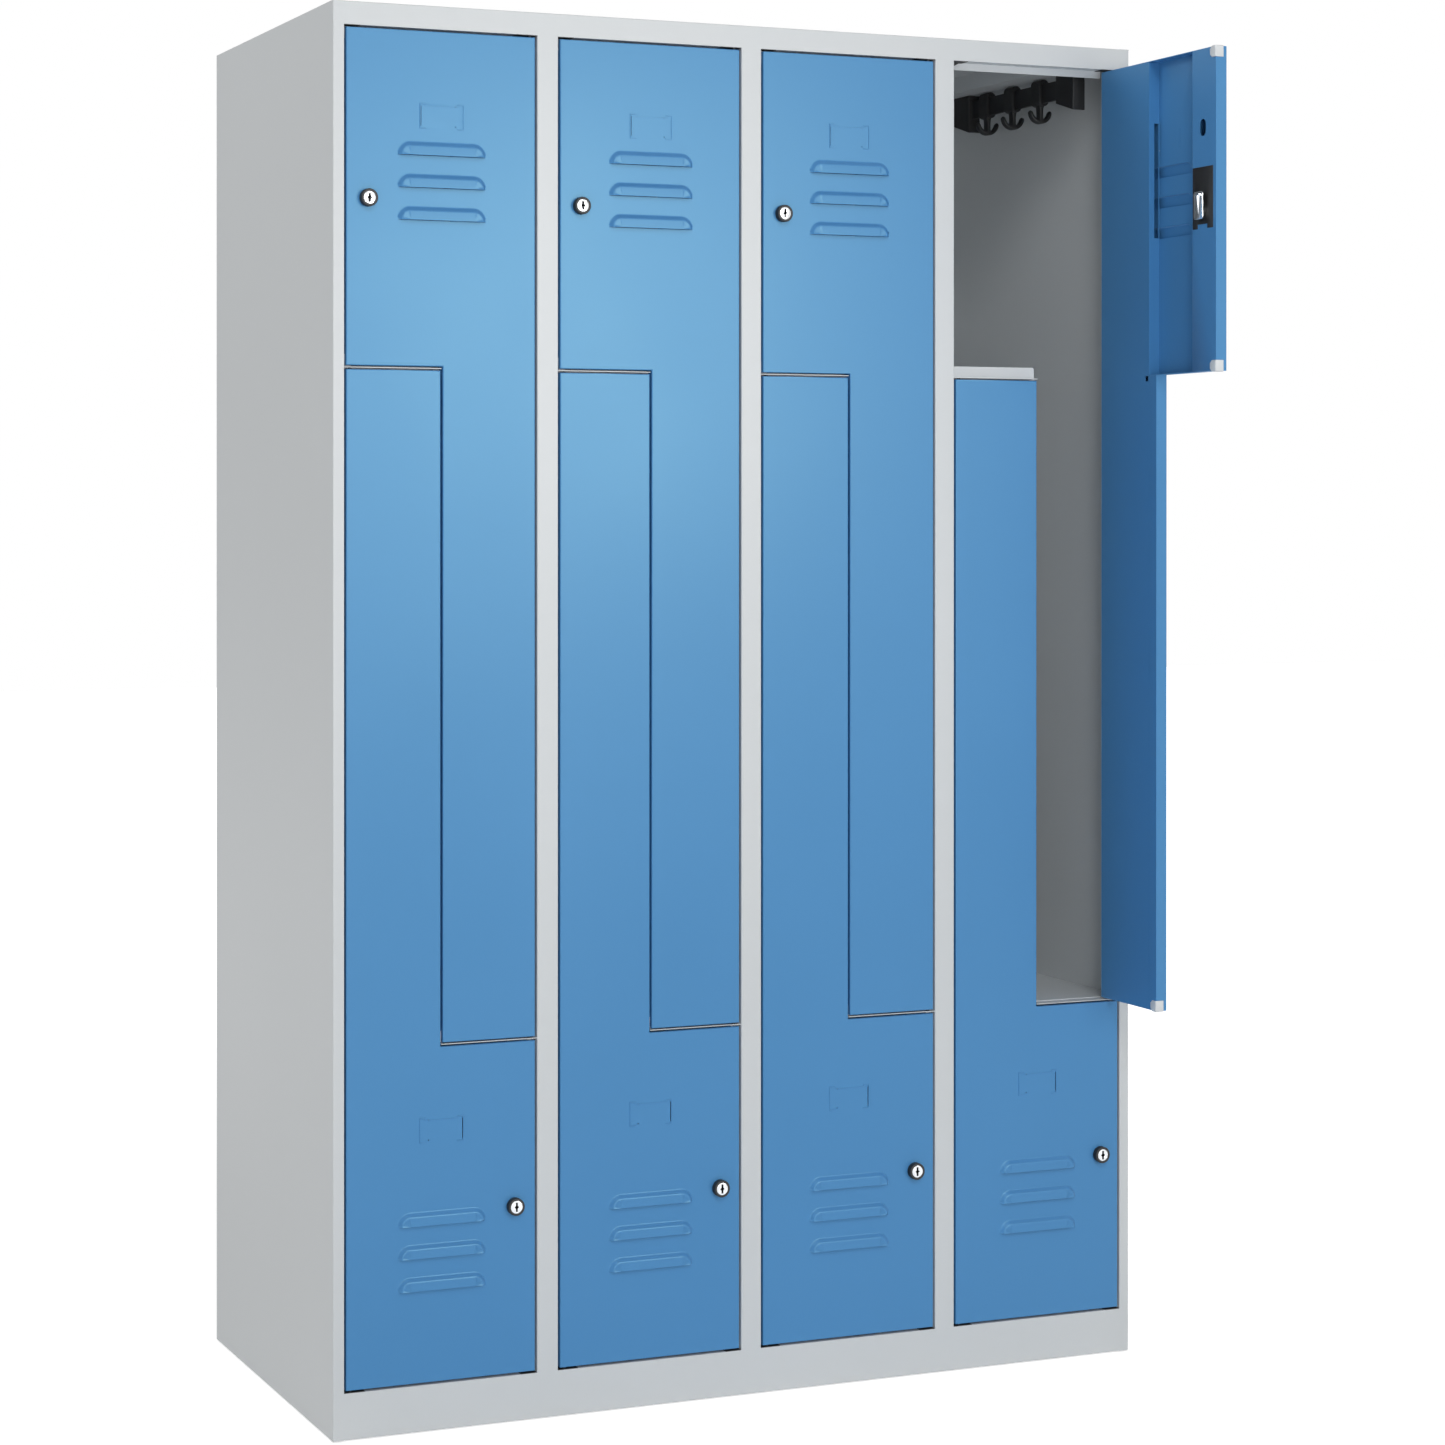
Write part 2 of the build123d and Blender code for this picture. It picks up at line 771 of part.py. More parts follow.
def add_hook(x: float, y: float, z: float) -> None:
    """One double hook: a sleeve round the bar and an upturned arm to each side; z is the bar's top."""
    bar_low = z - rail_bar_height
    low = bar_low - hook_wall
    ring_z = low - hook_drop + hook_ring_radius
    with BuildSketch(Plane.XZ.offset(-(y - hook_length / 2))) as sleeve:
        with Locations((x, (z + hook_top_rise + low) / 2)):
            RectangleRounded(hook_width, z + hook_top_rise - low, hook_width / 2 - hook_gap)
        with Locations((x, (z + bar_low) / 2)):
            Rectangle(
                rail_bar_width + 2 * hook_gap, rail_bar_height + 2 * hook_gap, mode=Mode.SUBTRACT
            )
    extrude(sleeve.sketch, amount=-hook_length)
    with BuildSketch(Plane.XZ.offset(-(y - hook_ring_length / 2))) as arms:
        with Locations((x, ring_z)):
            Circle(hook_ring_radius)
            Circle(hook_ring_radius - hook_ring_wall, mode=Mode.SUBTRACT)
        with Locations((x, ring_z + hook_ring_radius)):
            Rectangle(2 * hook_ring_radius, 2 * hook_ring_radius, mode=Mode.SUBTRACT)
        stem_top = low + hook_wall / 2
        stem_low = ring_z - hook_ring_radius + hook_ring_wall / 2
        with Locations((x, (stem_top + stem_low) / 2)):
            Rectangle(hook_stem_width, stem_top - stem_low)
    extrude(arms.sketch, amount=-hook_ring_length)


def coat_hooks(places: list):
    """Hooks at the given columns, turns and shares of the free part of the bar."""
    with BuildPart() as hooks:
        for column, turn, share in places:
            x, z = rail_frame(column, turn)
            add_hook(x, free_bar_front + share * free_bar_length, z - rail_drop)
    return hooks


def levelling_feet():
    """Four glides under the corners of the base."""
    with BuildPart() as feet:
        with BuildSketch():
            with GridLocations(
                cabinet_width - 2 * foot_inset, cabinet_depth - 2 * foot_inset, 2, 2
            ):
                Circle(foot_radius)
        extrude(amount=foot_height)
    return feet


# The part of a coat rail's bar that hooks can slide on
rail_rear_y = back_y - rail_back_gap
free_bar_front = front_y + rail_front + rail_block_length
free_bar_length = rail_rear_y - rail_block_length - free_bar_front

# Places in a leaf's own frame
hinge_edge = door_gap - hinge_inset
free_edge = 2 * opening_half - hinge_inset - door_gap
column_u = opening_half - hinge_inset
leg_edge = column_u - door_gap / 2
leg_end = step_gap / 2 - step_rise
stiffener_u = leg_edge - leg_return
lock_u = free_edge - lock_inset
lock_rise = outer_end - lock_drop
slot_centre = outer_end - slot_drop
oval_centre = outer_end - oval_drop
louvre_bottom = {1: outer_end - louvre_drop_upper, -1: louvre_drop_lower - outer_end}
label_centre = {1: outer_end - label_drop_upper, -1: label_drop_lower - outer_end}
leaf_outline = [
    (hinge_edge, outer_end), (free_edge, outer_end), (free_edge, wide_end),
    (leg_edge, wide_end), (leg_edge, leg_end), (hinge_edge, leg_end),
]
louvre_flat = louvre_width - 2 * louvre_height
louvre_outside = [
    (louvre_height, sheet / 2), (louvre_height, 0),
    (louvre_height - louvre_shoulder, -louvre_shoulder), (0, -louvre_rise), (0, sheet / 2),
]
louvre_inner_drop = louvre_shoulder - louvre_wall
louvre_inner_height = louvre_height - louvre_shoulder - louvre_wall / 2
louvre_inside = [
    (louvre_inner_height + louvre_inner_drop, sheet), (louvre_inner_height + louvre_inner_drop, 0),
    (louvre_inner_height, -louvre_inner_drop), (0, louvre_wall - louvre_rise), (0, sheet),
]

# Build and write every piece
finish(side_panel(-1), "side_panel_left")
finish(side_panel(1), "side_panel_right")
finish(back_panel(), "back_panel")
finish(top_panel(), "top_panel")
finish(base_rail(), "base_rail")
finish(floor_panel(), "floor_panel")
for number in range(1, column_count):
    finish(partition(number), f"partition_{number}")
for column in range(column_count):
    finish(z_divider(column), f"z_divider_{column + 1}")
finish(hinge_pins(), "hinge_pins")
finish(coat_rails(), "coat_rails")
finish(levelling_feet(), "levelling_feet")

pans = {turn: door_pan(turn) for turn in (1, -1)}
leaf_pieces = {
    "stiffener": door_stiffener(),
    "lock_case": lock_case(),
    "lock_core": lock_core(),
    "buffers": door_buffers(),
}
open_column = column_count - 1
for column in range(column_count):
    for upper in (True, False):
        opened = upper and column == open_column
        door = Door(column, upper, door_open_angle if opened else 0.0)
        place(pans[door.turn], door, "pan")
        for piece_name, piece in leaf_pieces.items():
            place(piece, door, piece_name)

for hook_name, share in zip(("front", "middle", "rear"), hook_shares):
    finish(coat_hooks([(open_column, 1, share)]), f"coat_hook_{hook_name}")
closed_places = [
    (column, turn, share)
    for column in range(column_count)
    for turn in (1, -1)
    for share in hook_shares
    if not (column == open_column and turn == 1)
]
finish(coat_hooks(closed_places), "closed_locker_hooks")
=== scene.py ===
"""Looks of a steel Z locker: four columns, each with two interlocking L-shaped compartments.

Metres. +Z is up and the front faces -Y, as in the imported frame. Sizes written in millimetres are
multiplied by MM where they are used.
"""

import json
import logging
import math
from dataclasses import dataclass
from enum import Enum

import bmesh
import bpy
from bpy.types import Material, Mesh, Node, NodeSocket, NodeTree, Object
from mathutils import Matrix, Vector


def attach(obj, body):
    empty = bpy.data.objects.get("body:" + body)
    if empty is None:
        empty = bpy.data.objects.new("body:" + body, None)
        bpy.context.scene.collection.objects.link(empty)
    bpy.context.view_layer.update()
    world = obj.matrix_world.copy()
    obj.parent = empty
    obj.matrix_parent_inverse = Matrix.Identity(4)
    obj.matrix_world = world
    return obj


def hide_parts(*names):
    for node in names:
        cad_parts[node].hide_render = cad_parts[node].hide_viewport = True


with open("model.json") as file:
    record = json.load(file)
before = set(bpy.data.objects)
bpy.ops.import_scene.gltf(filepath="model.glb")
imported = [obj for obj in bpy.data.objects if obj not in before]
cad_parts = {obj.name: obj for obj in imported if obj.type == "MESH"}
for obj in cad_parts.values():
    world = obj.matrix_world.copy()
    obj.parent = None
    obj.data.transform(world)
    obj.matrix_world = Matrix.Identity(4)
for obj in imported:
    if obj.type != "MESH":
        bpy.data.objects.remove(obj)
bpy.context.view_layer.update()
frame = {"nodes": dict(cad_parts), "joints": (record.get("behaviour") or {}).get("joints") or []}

log = logging.getLogger("z_locker")

MM = 0.001
PHOTO_SIDE = 1445
SENSOR_WIDTH = 36.0

# The upper compartment of the last column stands open. In every column the two openings mirror each
# other about one height.
COLUMNS = (1, 2, 3, 4)
OPEN_COLUMN = 4
COLUMN_PITCH_MM = 300.0
MIDDLE_RISE_MM = 941.0


# Shared helpers


def linear(hex_colour: str) -> tuple[float, float, float, float]:
    """Turns an sRGB hex value into linear red, green, blue and alpha.

    Args:
        hex_colour: Six hex digits.

    Returns:
        The four linear channels, with an alpha of 1.
    """
    channels = [int(hex_colour[start:start + 2], 16) / 255 for start in (0, 2, 4)]
    toe, slope, offset, power = 0.04045, 12.92, 0.055, 2.4
    bent = [c / slope if c <= toe else ((c + offset) / (1 + offset)) ** power for c in channels]
    return (*bent, 1.0)


def add_node(tree: NodeTree, kind: str, inputs: dict | None = None, **settings: object) -> Node:
    """Adds a node, sets its properties and feeds its inputs.

    Args:
        tree: The shader or geometry tree that receives the node.
        kind: Blender's name of the node type.
        inputs: A value or an output socket for each input, by name or number.
        settings: Properties of the node.

    Returns:
        The new node.
    """
    node = tree.nodes.new(kind)
    for name, value in settings.items():
        setattr(node, name, value)
    for name, value in (inputs or {}).items():
        socket = node.inputs[name]
        if isinstance(value, NodeSocket):
            tree.links.new(value, socket)
        else:
            socket.default_value = value
    return node


def column_middle(column: int) -> float:
    """Where the middle of a column lies across the front, in millimetres."""
    return (column - (COLUMNS[0] + COLUMNS[-1]) / 2) * COLUMN_PITCH_MM


# Finishes


class Slot(Enum):
    """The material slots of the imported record."""

    CARCASS = "carcass_paint"
    DOOR = "door_paint"
    BLACK = "black_plastic"
    BUFFER = "buffer_plastic"
    FOOT = "foot_plastic"
    LOCK = "lock_steel"
    PIN = "pin_steel"


@dataclass(frozen=True)
class Finish:
    """What every finish shares: two tones, a relief and a gloss, each led by a pattern.

    The colours are the tones at the low and at the high end of the pattern that mixes them.
    """

    name: str
    colours: tuple[str, str]
    roughness: float
    gloss_spread: tuple[float, float] = (0.03, 0.03)
    relief_mm: float = 0.016
    relief_strength: float = 1.0

    def start(self) -> tuple[Material, NodeSocket]:
        """Starts the material.

        Returns:
            The material, and a socket with the place on the piece.
        """
        made = bpy.data.materials.new(self.name)
        made.use_nodes = True
        return made, add_node(made.node_tree, "ShaderNodeTexCoord").outputs["Object"]

    def lead(
        self, tree: NodeTree, tone: NodeSocket, relief: NodeSocket, gloss: NodeSocket,
        gloss_range: tuple[float, float] = (0.0, 1.0),
    ) -> None:
        """Lets patterns lead the colour, the relief and the gloss.

        Args:
            tree: The material's tree.
            tone: The pattern that mixes the two colours.
            relief: The pattern that raises the surface.
            gloss: The pattern that changes the roughness.
            gloss_range: The range of that pattern that counts.
        """
        shader = tree.nodes["Principled BSDF"]
        mixed = add_node(tree, "ShaderNodeMix", {"Factor": tone}, data_type="RGBA")
        mixed.inputs["A"].default_value = linear(self.colours[0])
        mixed.inputs["B"].default_value = linear(self.colours[1])
        tree.links.new(mixed.outputs["Result"], shader.inputs["Base Color"])
        bump = add_node(
            tree, "ShaderNodeBump",
            {"Height": relief, "Strength": self.relief_strength, "Distance": self.relief_mm * MM},
        )
        tree.links.new(bump.outputs["Normal"], shader.inputs["Normal"])
        less, more = self.gloss_spread
        rough = add_node(
            tree, "ShaderNodeMapRange",
            {
                "Value": gloss, "From Min": gloss_range[0], "From Max": gloss_range[1],
                "To Min": self.roughness - less, "To Max": self.roughness + more,
            },
        )
        tree.links.new(rough.outputs["Result"], shader.inputs["Roughness"])


@dataclass(frozen=True)
class PowderCoat(Finish):
    """Polyester powder coat, sprayed dry and baked: an even satin film with a faint orange peel."""

    drift_mm: float = 420.0
    drift_range: tuple[float, float] = (0.3, 0.7)
    speck_mm: float = 1.6
    speck_share: float = 0.22
    tone_range: tuple[float, float] = (0.36, 0.86)
    peel_mm: float = 5.0
    sheen: str = "FFFFFF"
    ior: float = 1.5

    def material(self) -> Material:
        """Builds the paint with its slow drift of tone, fine specks and orange peel.

        Returns:
            The paint.
        """
        made, place = self.start()
        tree = made.node_tree
        # The film's thickness drifts over some decimetres, which reads as a slow change of tone
        drift = add_node(
            tree, "ShaderNodeTexNoise",
            {"Vector": place, "Scale": 1 / (self.drift_mm * MM), "Detail": 2.0, "Roughness": 0.4},
        ).outputs["Fac"]
        specks = add_node(
            tree, "ShaderNodeTexNoise",
            {"Vector": place, "Scale": 1 / (self.speck_mm * MM), "Detail": 1.0, "Roughness": 0.5},
        ).outputs["Fac"]
        blend = add_node(
            tree, "ShaderNodeMath", {0: specks, 1: self.speck_share, 2: drift},
            operation="MULTIPLY_ADD",
        ).outputs["Value"]
        low, high = self.tone_range
        share = add_node(
            tree, "ShaderNodeMapRange", {"Value": blend, "From Min": low, "From Max": high},
        ).outputs["Result"]
        # Melted powder levels into shallow cells, drawn wider than real ones so that they show
        peel = add_node(
            tree, "ShaderNodeTexNoise",
            {"Vector": place, "Scale": 1 / (self.peel_mm * MM), "Detail": 1.5, "Roughness": 0.45},
        ).outputs["Fac"]
        self.lead(tree, tone=share, relief=peel, gloss=drift, gloss_range=self.drift_range)
        shader = tree.nodes["Principled BSDF"]
        shader.inputs["IOR"].default_value = self.ior
        shader.inputs["Specular Tint"].default_value = linear(self.sheen)
        return made


@dataclass(frozen=True)
class MouldedPlastic(Finish):
    """Injection-moulded polymer from a spark-eroded tool: a dull skin with a fine grain."""

    gloss_spread: tuple[float, float] = (0.06, 0.08)
    relief_mm: float = 0.03
    relief_strength: float = 0.6
    grain_mm: float = 0.9
    ior: float = 1.49

    def material(self) -> Material:
        """Builds the plastic with its grain and the slightly paler tops of the grain.

        Returns:
            The plastic.
        """
        made, place = self.start()
        tree = made.node_tree
        # The tool's erosion leaves tiny pits, drawn coarser than real ones so that they show
        grain = add_node(
            tree, "ShaderNodeTexNoise",
            {"Vector": place, "Scale": 1 / (self.grain_mm * MM), "Detail": 3.0, "Roughness": 0.6},
        ).outputs["Fac"]
        self.lead(tree, tone=grain, relief=grain, gloss=grain)
        tree.nodes["Principled BSDF"].inputs["IOR"].default_value = self.ior
        return made


@dataclass(frozen=True)
class PlatedMetal(Finish):
    """Die-cast or turned metal with an electroplated coat: smooth, with faint tool marks."""

    gloss_spread: tuple[float, float] = (0.05, 0.08)
    relief_mm: float = 0.006
    relief_strength: float = 0.5
    mark_mm: float = 0.5
    mark_stretch: float = 14.0

    def material(self) -> Material:
        """Builds the metal with fine marks drawn out along the height of the piece.

        Returns:
            The metal.
        """
        made, place = self.start()
        tree = made.node_tree
        drawn = add_node(
            tree, "ShaderNodeMapping",
            {"Vector": place, "Scale": (1.0, 1.0, 1 / self.mark_stretch)},
        ).outputs["Vector"]
        # Barrel finishing before plating leaves hair-fine marks, which soften the reflections
        marks = add_node(
            tree, "ShaderNodeTexNoise",
            {"Vector": drawn, "Scale": 1 / (self.mark_mm * MM), "Detail": 2.0, "Roughness": 0.55},
        ).outputs["Fac"]
        self.lead(tree, tone=marks, relief=marks, gloss=marks)
        tree.nodes["Principled BSDF"].inputs["Metallic"].default_value = 1.0
        return made


class Palette:
    """Every finish of the locker, made once."""

    def __init__(self) -> None:
        """Makes the materials."""
        self.carcass = PowderCoat(
            "light_grey_powder_coat", colours=("C8CCCE", "CDD1D3"), roughness=0.42,
        ).material()
        # The blue film's highlight is a little green, as the photograph shows it
        self.door = PowderCoat(
            "light_blue_powder_coat", colours=("4681B7", "4A85BB"), roughness=0.37, sheen="CAFFFA",
        ).material()
        self.black = MouldedPlastic(
            "black_glass_filled_nylon", colours=("131415", "1A1B1D"), roughness=0.52,
        ).material()
        # The keyway is drawn near black with almost no reflection: painted shade for the deep,
        # unlit cavity
        self.keyway = MouldedPlastic(
            "painted_shade_keyway_black", colours=("050506", "080809"), roughness=0.8, ior=1.3,
        ).material()
        self.buffer = MouldedPlastic(
            "light_grey_soft_pvc", colours=("D9DCDE", "CFD3D5"), roughness=0.55, ior=1.53,
        ).material()
        self.foot = MouldedPlastic(
            "black_polyethylene_glide", colours=("1A1A1B", "232324"), roughness=0.55,
        ).material()
        self.lock = PlatedMetal(
            "nickel_plated_zinc", colours=("D6D9DC", "E4E6E8"), roughness=0.2,
        ).material()
        # The pins are drawn near black, so they stay dark and don't shine in the gaps
        self.pin = PlatedMetal(
            "near_black_pin_steel", colours=("26282B", "34373A"), roughness=0.42,
        ).material()


# Mesh helpers


def new_piece(name: str, mesh: Mesh, *materials: Material) -> Object:
    """Puts a mesh in the scene as a piece.

    Args:
        name: The piece's name.
        mesh: Its mesh, in the frame's own coordinates.
        materials: The materials of its slots, in order.

    Returns:
        The new object, at the origin.
    """
    mesh.materials.clear()
    for material in materials:
        mesh.materials.append(material)
    piece = bpy.data.objects.new(name, mesh)
    bpy.context.scene.collection.objects.link(piece)
    return piece


def merged_copy(node: str, merge_mm: float = 0.002, flat_degrees: float = 0.6) -> Mesh:
    """Copies a CAD node's loose triangles into one closed mesh with whole flat faces.

    Args:
        node: The CAD node's name.
        merge_mm: Corners nearer than this become one.
        flat_degrees: Faces that meet at less than this angle become one.

    Returns:
        The new mesh.
    """
    work = bmesh.new()
    work.from_mesh(frame["nodes"][node].data)
    bmesh.ops.remove_doubles(work, verts=work.verts, dist=merge_mm * MM)
    bmesh.ops.dissolve_limit(
        work, angle_limit=math.radians(flat_degrees), use_dissolve_boundaries=False,
        verts=work.verts, edges=work.edges, delimit={"NORMAL"},
    )
    mesh = bpy.data.meshes.new(node)
    work.to_mesh(mesh)
    work.free()
    return mesh


def even_shading(piece: Object, sharp_degrees: float = 36.0) -> None:
    """Shades a sheet smooth, with its flat faces kept flat and its cut edges kept sharp.

    Args:
        piece: The piece.
        sharp_degrees: Edges sharper than this stay sharp.
    """
    piece.data.shade_smooth()
    piece.data.set_sharp_from_angle(angle=math.radians(sharp_degrees))
    even = piece.modifiers.new("flat_faces_lead", "WEIGHTED_NORMAL")
    even.keep_sharp = True


def skin(
    name: str, rings: list[list[Vector]], looped: bool = False, sharp_degrees: float = 40.0
) -> Mesh:
    """Joins rings of points, given in millimetres, into one closed smooth skin.

    Args:
        name: The mesh's name.
        rings: Rings with the same number of points, in order along the shape.
        looped: Whether the last ring joins the first; otherwise both ends are capped.
        sharp_degrees: Edges sharper than this stay sharp.

    Returns:
        The new mesh, in metres.
    """
    work = bmesh.new()
    rows = [[work.verts.new(point * MM) for point in ring] for ring in rings]
    pairs = list(zip(rows, rows[1:])) + ([(rows[-1], rows[0])] if looped else [])
    for one, two in pairs:
        for place in range(len(one)):
            after = (place + 1) % len(one)
            work.faces.new((one[place], one[after], two[after], two[place]))
    if not looped:
        work.faces.new(rows[0])
        work.faces.new(rows[-1])
    bmesh.ops.recalc_face_normals(work, faces=work.faces)
    mesh = bpy.data.meshes.new(name)
    work.to_mesh(mesh)
    work.free()
    mesh.shade_smooth()
    mesh.set_sharp_from_angle(angle=math.radians(sharp_degrees))
    return mesh


def joined(name: str, parts: list[Mesh]) -> Mesh:
    """Joins several meshes into one and removes them.

    Args:
        name: The new mesh's name.
        parts: The meshes to join.

    Returns:
        The new mesh.
    """
    work = bmesh.new()
    for part in parts:
        work.from_mesh(part)
        bpy.data.meshes.remove(part)
    mesh = bpy.data.meshes.new(name)
    work.to_mesh(mesh)
    work.free()
    return mesh


def rounded_ring(width: float, height: float, radius: float, steps: int = 6) -> list[Vector]:
    """Points round a rectangle with rounded corners, in its own plane and centred.

    Args:
        width: Its size along x.
        height: Its size along y.
        radius: The corners' radius.
        steps: Points on each corner.

    Returns:
        The points, anticlockwise, four times the steps in number.
    """
    points = []
    for corner, (side_x, side_y) in enumerate(((1, 1), (-1, 1), (-1, -1), (1, -1))):
        middle = Vector((side_x * (width / 2 - radius), side_y * (height / 2 - radius), 0))
        for step in range(steps):
            angle = math.pi / 2 * (corner + step / (steps - 1))
            points.append(middle + Vector((math.cos(angle), math.sin(angle), 0)) * radius)
    return points


def discard(*helpers: Object) -> None:
    """Removes helper objects and their meshes."""
    for helper in helpers:
        data = helper.data
        bpy.data.objects.remove(helper)
        bpy.data.meshes.remove(data)


def soften(piece: Object, width_mm: float, segments: int = 2, degrees: float = 32.0) -> None:
    """Rounds a piece's edges with a small bevel and shades it smooth.

    Args:
        piece: The piece.
        width_mm: How far the rounding reaches from each edge.
        segments: Faces across the rounding.
        degrees: Only edges sharper than this are rounded.
    """
    piece.data.shade_smooth()
    bevel = piece.modifiers.new("rounded_edges", "BEVEL")
    bevel.width = width_mm * MM
    bevel.segments = segments
    bevel.limit_method = "ANGLE"
    bevel.angle_limit = math.radians(degrees)
    bevel.harden_normals = True


def dress(node: str, material: Material) -> None:
    """Finishes a CAD node that is shown as it is.

    Args:
        node: The CAD node.
        material: Its finish.
    """
    shown = frame["nodes"][node]
    shown.data.materials.clear()
    shown.data.materials.append(material)
    log.info("%s keeps its CAD shape in %s", node, material.name)


def stand_in(piece: Object, body: str, node: str) -> None:
    """Shows a piece in place of a CAD node.

    Args:
        piece: The finished piece.
        body: The body that it moves with.
        node: The CAD node that it replaces.
    """
    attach(piece, body)
    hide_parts(node)
    log.info("%s replaces %s", piece.name, node)


def moulded(
    node: str, body: str, material: Material, edge_mm: float, segments: int = 2
) -> None:
    """Replaces a moulded CAD node with a copy of it that has rounded edges.

    Args:
        node: The CAD node.
        body: The body that it moves with.
        material: Its finish.
        edge_mm: How far the rounding reaches from each edge.
        segments: Faces across the rounding.
    """
    piece = new_piece(f"{node}_moulded", merged_copy(node), material)
    soften(piece, edge_mm, segments)
    stand_in(piece, body, node)


# Copies by Geometry Nodes


@dataclass
class Copies:
    """One small shape set at many places of one body, by a geometry tree."""

    name: str
    shape: Mesh
    finish: Material
    places_mm: list[tuple[float, float, float]]
    stretches: list[float] | None = None
    turns: list[float] | None = None

    def tree(self) -> NodeTree:
        """Builds the tree: an instance on every point, then real geometry with its finish.

        Returns:
            The tree.
        """
        tree = bpy.data.node_groups.new(f"{self.name}_copies", "GeometryNodeTree")
        for name, kind in (
            ("Places", "NodeSocketGeometry"), ("Shape", "NodeSocketObject"),
            ("Finish", "NodeSocketMaterial"), ("Girth", "NodeSocketFloat"),
        ):
            tree.interface.new_socket(name, in_out="INPUT", socket_type=kind)
        tree.interface.new_socket("Result", in_out="OUTPUT", socket_type="NodeSocketGeometry")
        given = add_node(tree, "NodeGroupInput").outputs
        shape = add_node(tree, "GeometryNodeObjectInfo", {"Object": given["Shape"]})
        points = add_node(tree, "GeometryNodeMeshToPoints", {"Mesh": given["Places"]})
        stretch, turn = (
            add_node(
                tree, "GeometryNodeInputNamedAttribute", {"Name": name}, data_type="FLOAT",
            ).outputs["Attribute"]
            for name in ("stretch", "turn")
        )
        scale = add_node(
            tree, "ShaderNodeCombineXYZ",
            {"X": given["Girth"], "Y": given["Girth"], "Z": stretch},
        )
        facing = add_node(tree, "ShaderNodeCombineXYZ", {"Y": turn})
        placed = add_node(
            tree, "GeometryNodeInstanceOnPoints",
            {
                "Points": points.outputs["Points"], "Instance": shape.outputs["Geometry"],
                "Scale": scale.outputs["Vector"], "Rotation": facing.outputs["Vector"],
            },
        )
        real = add_node(
            tree, "GeometryNodeRealizeInstances", {"Geometry": placed.outputs["Instances"]},
        )
        dressed = add_node(
            tree, "GeometryNodeSetMaterial",
            {"Geometry": real.outputs["Geometry"], "Material": given["Finish"]},
        )
        add_node(tree, "NodeGroupOutput", {"Result": dressed.outputs["Geometry"]})
        return tree

    def mesh(self) -> Mesh:
        """Runs the tree once.

        Returns:
            Its result, as a plain mesh.
        """
        points = bpy.data.meshes.new(f"{self.name}_places")
        points.from_pydata([Vector(place) * MM for place in self.places_mm], [], [])
        count = len(self.places_mm)
        for name, values in (
            ("stretch", self.stretches or [1.0] * count), ("turn", self.turns or [0.0] * count),
        ):
            points.attributes.new(name, "FLOAT", "POINT").data.foreach_set("value", values)
        host = bpy.data.objects.new(f"{self.name}_host", points)
        model = bpy.data.objects.new(f"{self.name}_model", self.shape)
        for helper in (host, model):
            bpy.context.scene.collection.objects.link(helper)
        tree = self.tree()
        modifier = host.modifiers.new("copies", "NODES")
        modifier.node_group = tree
        values = {"Shape": model, "Finish": self.finish, "Girth": 1.0}
        for socket in tree.interface.items_tree:
            if socket.name in values:
                modifier[socket.identifier] = values[socket.name]
        evaluated = host.evaluated_get(bpy.context.evaluated_depsgraph_get())
        made = bpy.data.meshes.new_from_object(evaluated)
        discard(host, model)
        log.info("%s is set at %d places", self.name, count)
        return made


# The locker's sub-assemblies


@dataclass
class Carcass:
    """The welded grey cabinet: walls, roof, floor, posts, rails and the Z dividers."""

    palette: Palette

    def nodes(self) -> list[str]:
        """Names the CAD nodes of the painted carcass.

        Returns:
            Their names.
        """
        walls = ["side_panel_left", "side_panel_right", "back_panel"]
        rails = ["top_panel", "base_rail", "floor_panel"]
        posts = [f"partition_{column}" for column in COLUMNS[:-1]]
        dividers = [f"z_divider_{column}" for column in COLUMNS]
        return walls + rails + posts + dividers

    def build(self) -> None:
        """Dresses every sheet of the carcass."""
        for node in self.nodes():
            dress(node, self.palette.carcass)


@dataclass(frozen=True)
class Crease:
    """Edges of a door's pressed sheet at one depth, and how far their rounding reaches.

    Edges nearer to a louvre's slit than the clear distance stay sharp.
    """

    depth_mm: float
    width_mm: float
    bend_degrees: tuple[float, float]
    on_label: bool = False
    segments: int = 3
    profile: float = 0.5
    clear_mm: float = -1.0


# The foot, the shoulder and the lip of each louvre, and the rim of the label holder
PRESSED_CREASES = (
    Crease(depth_mm=0.0, width_mm=1.3, bend_degrees=(25.0, 60.0), clear_mm=0.5),
    Crease(depth_mm=-5.0, width_mm=1.5, bend_degrees=(25.0, 60.0)),
    Crease(depth_mm=-5.5, width_mm=0.3, bend_degrees=(60.0, 120.0), segments=2),
    Crease(depth_mm=-0.8, width_mm=0.25, bend_degrees=(60.0, 120.0), on_label=True, segments=2),
)


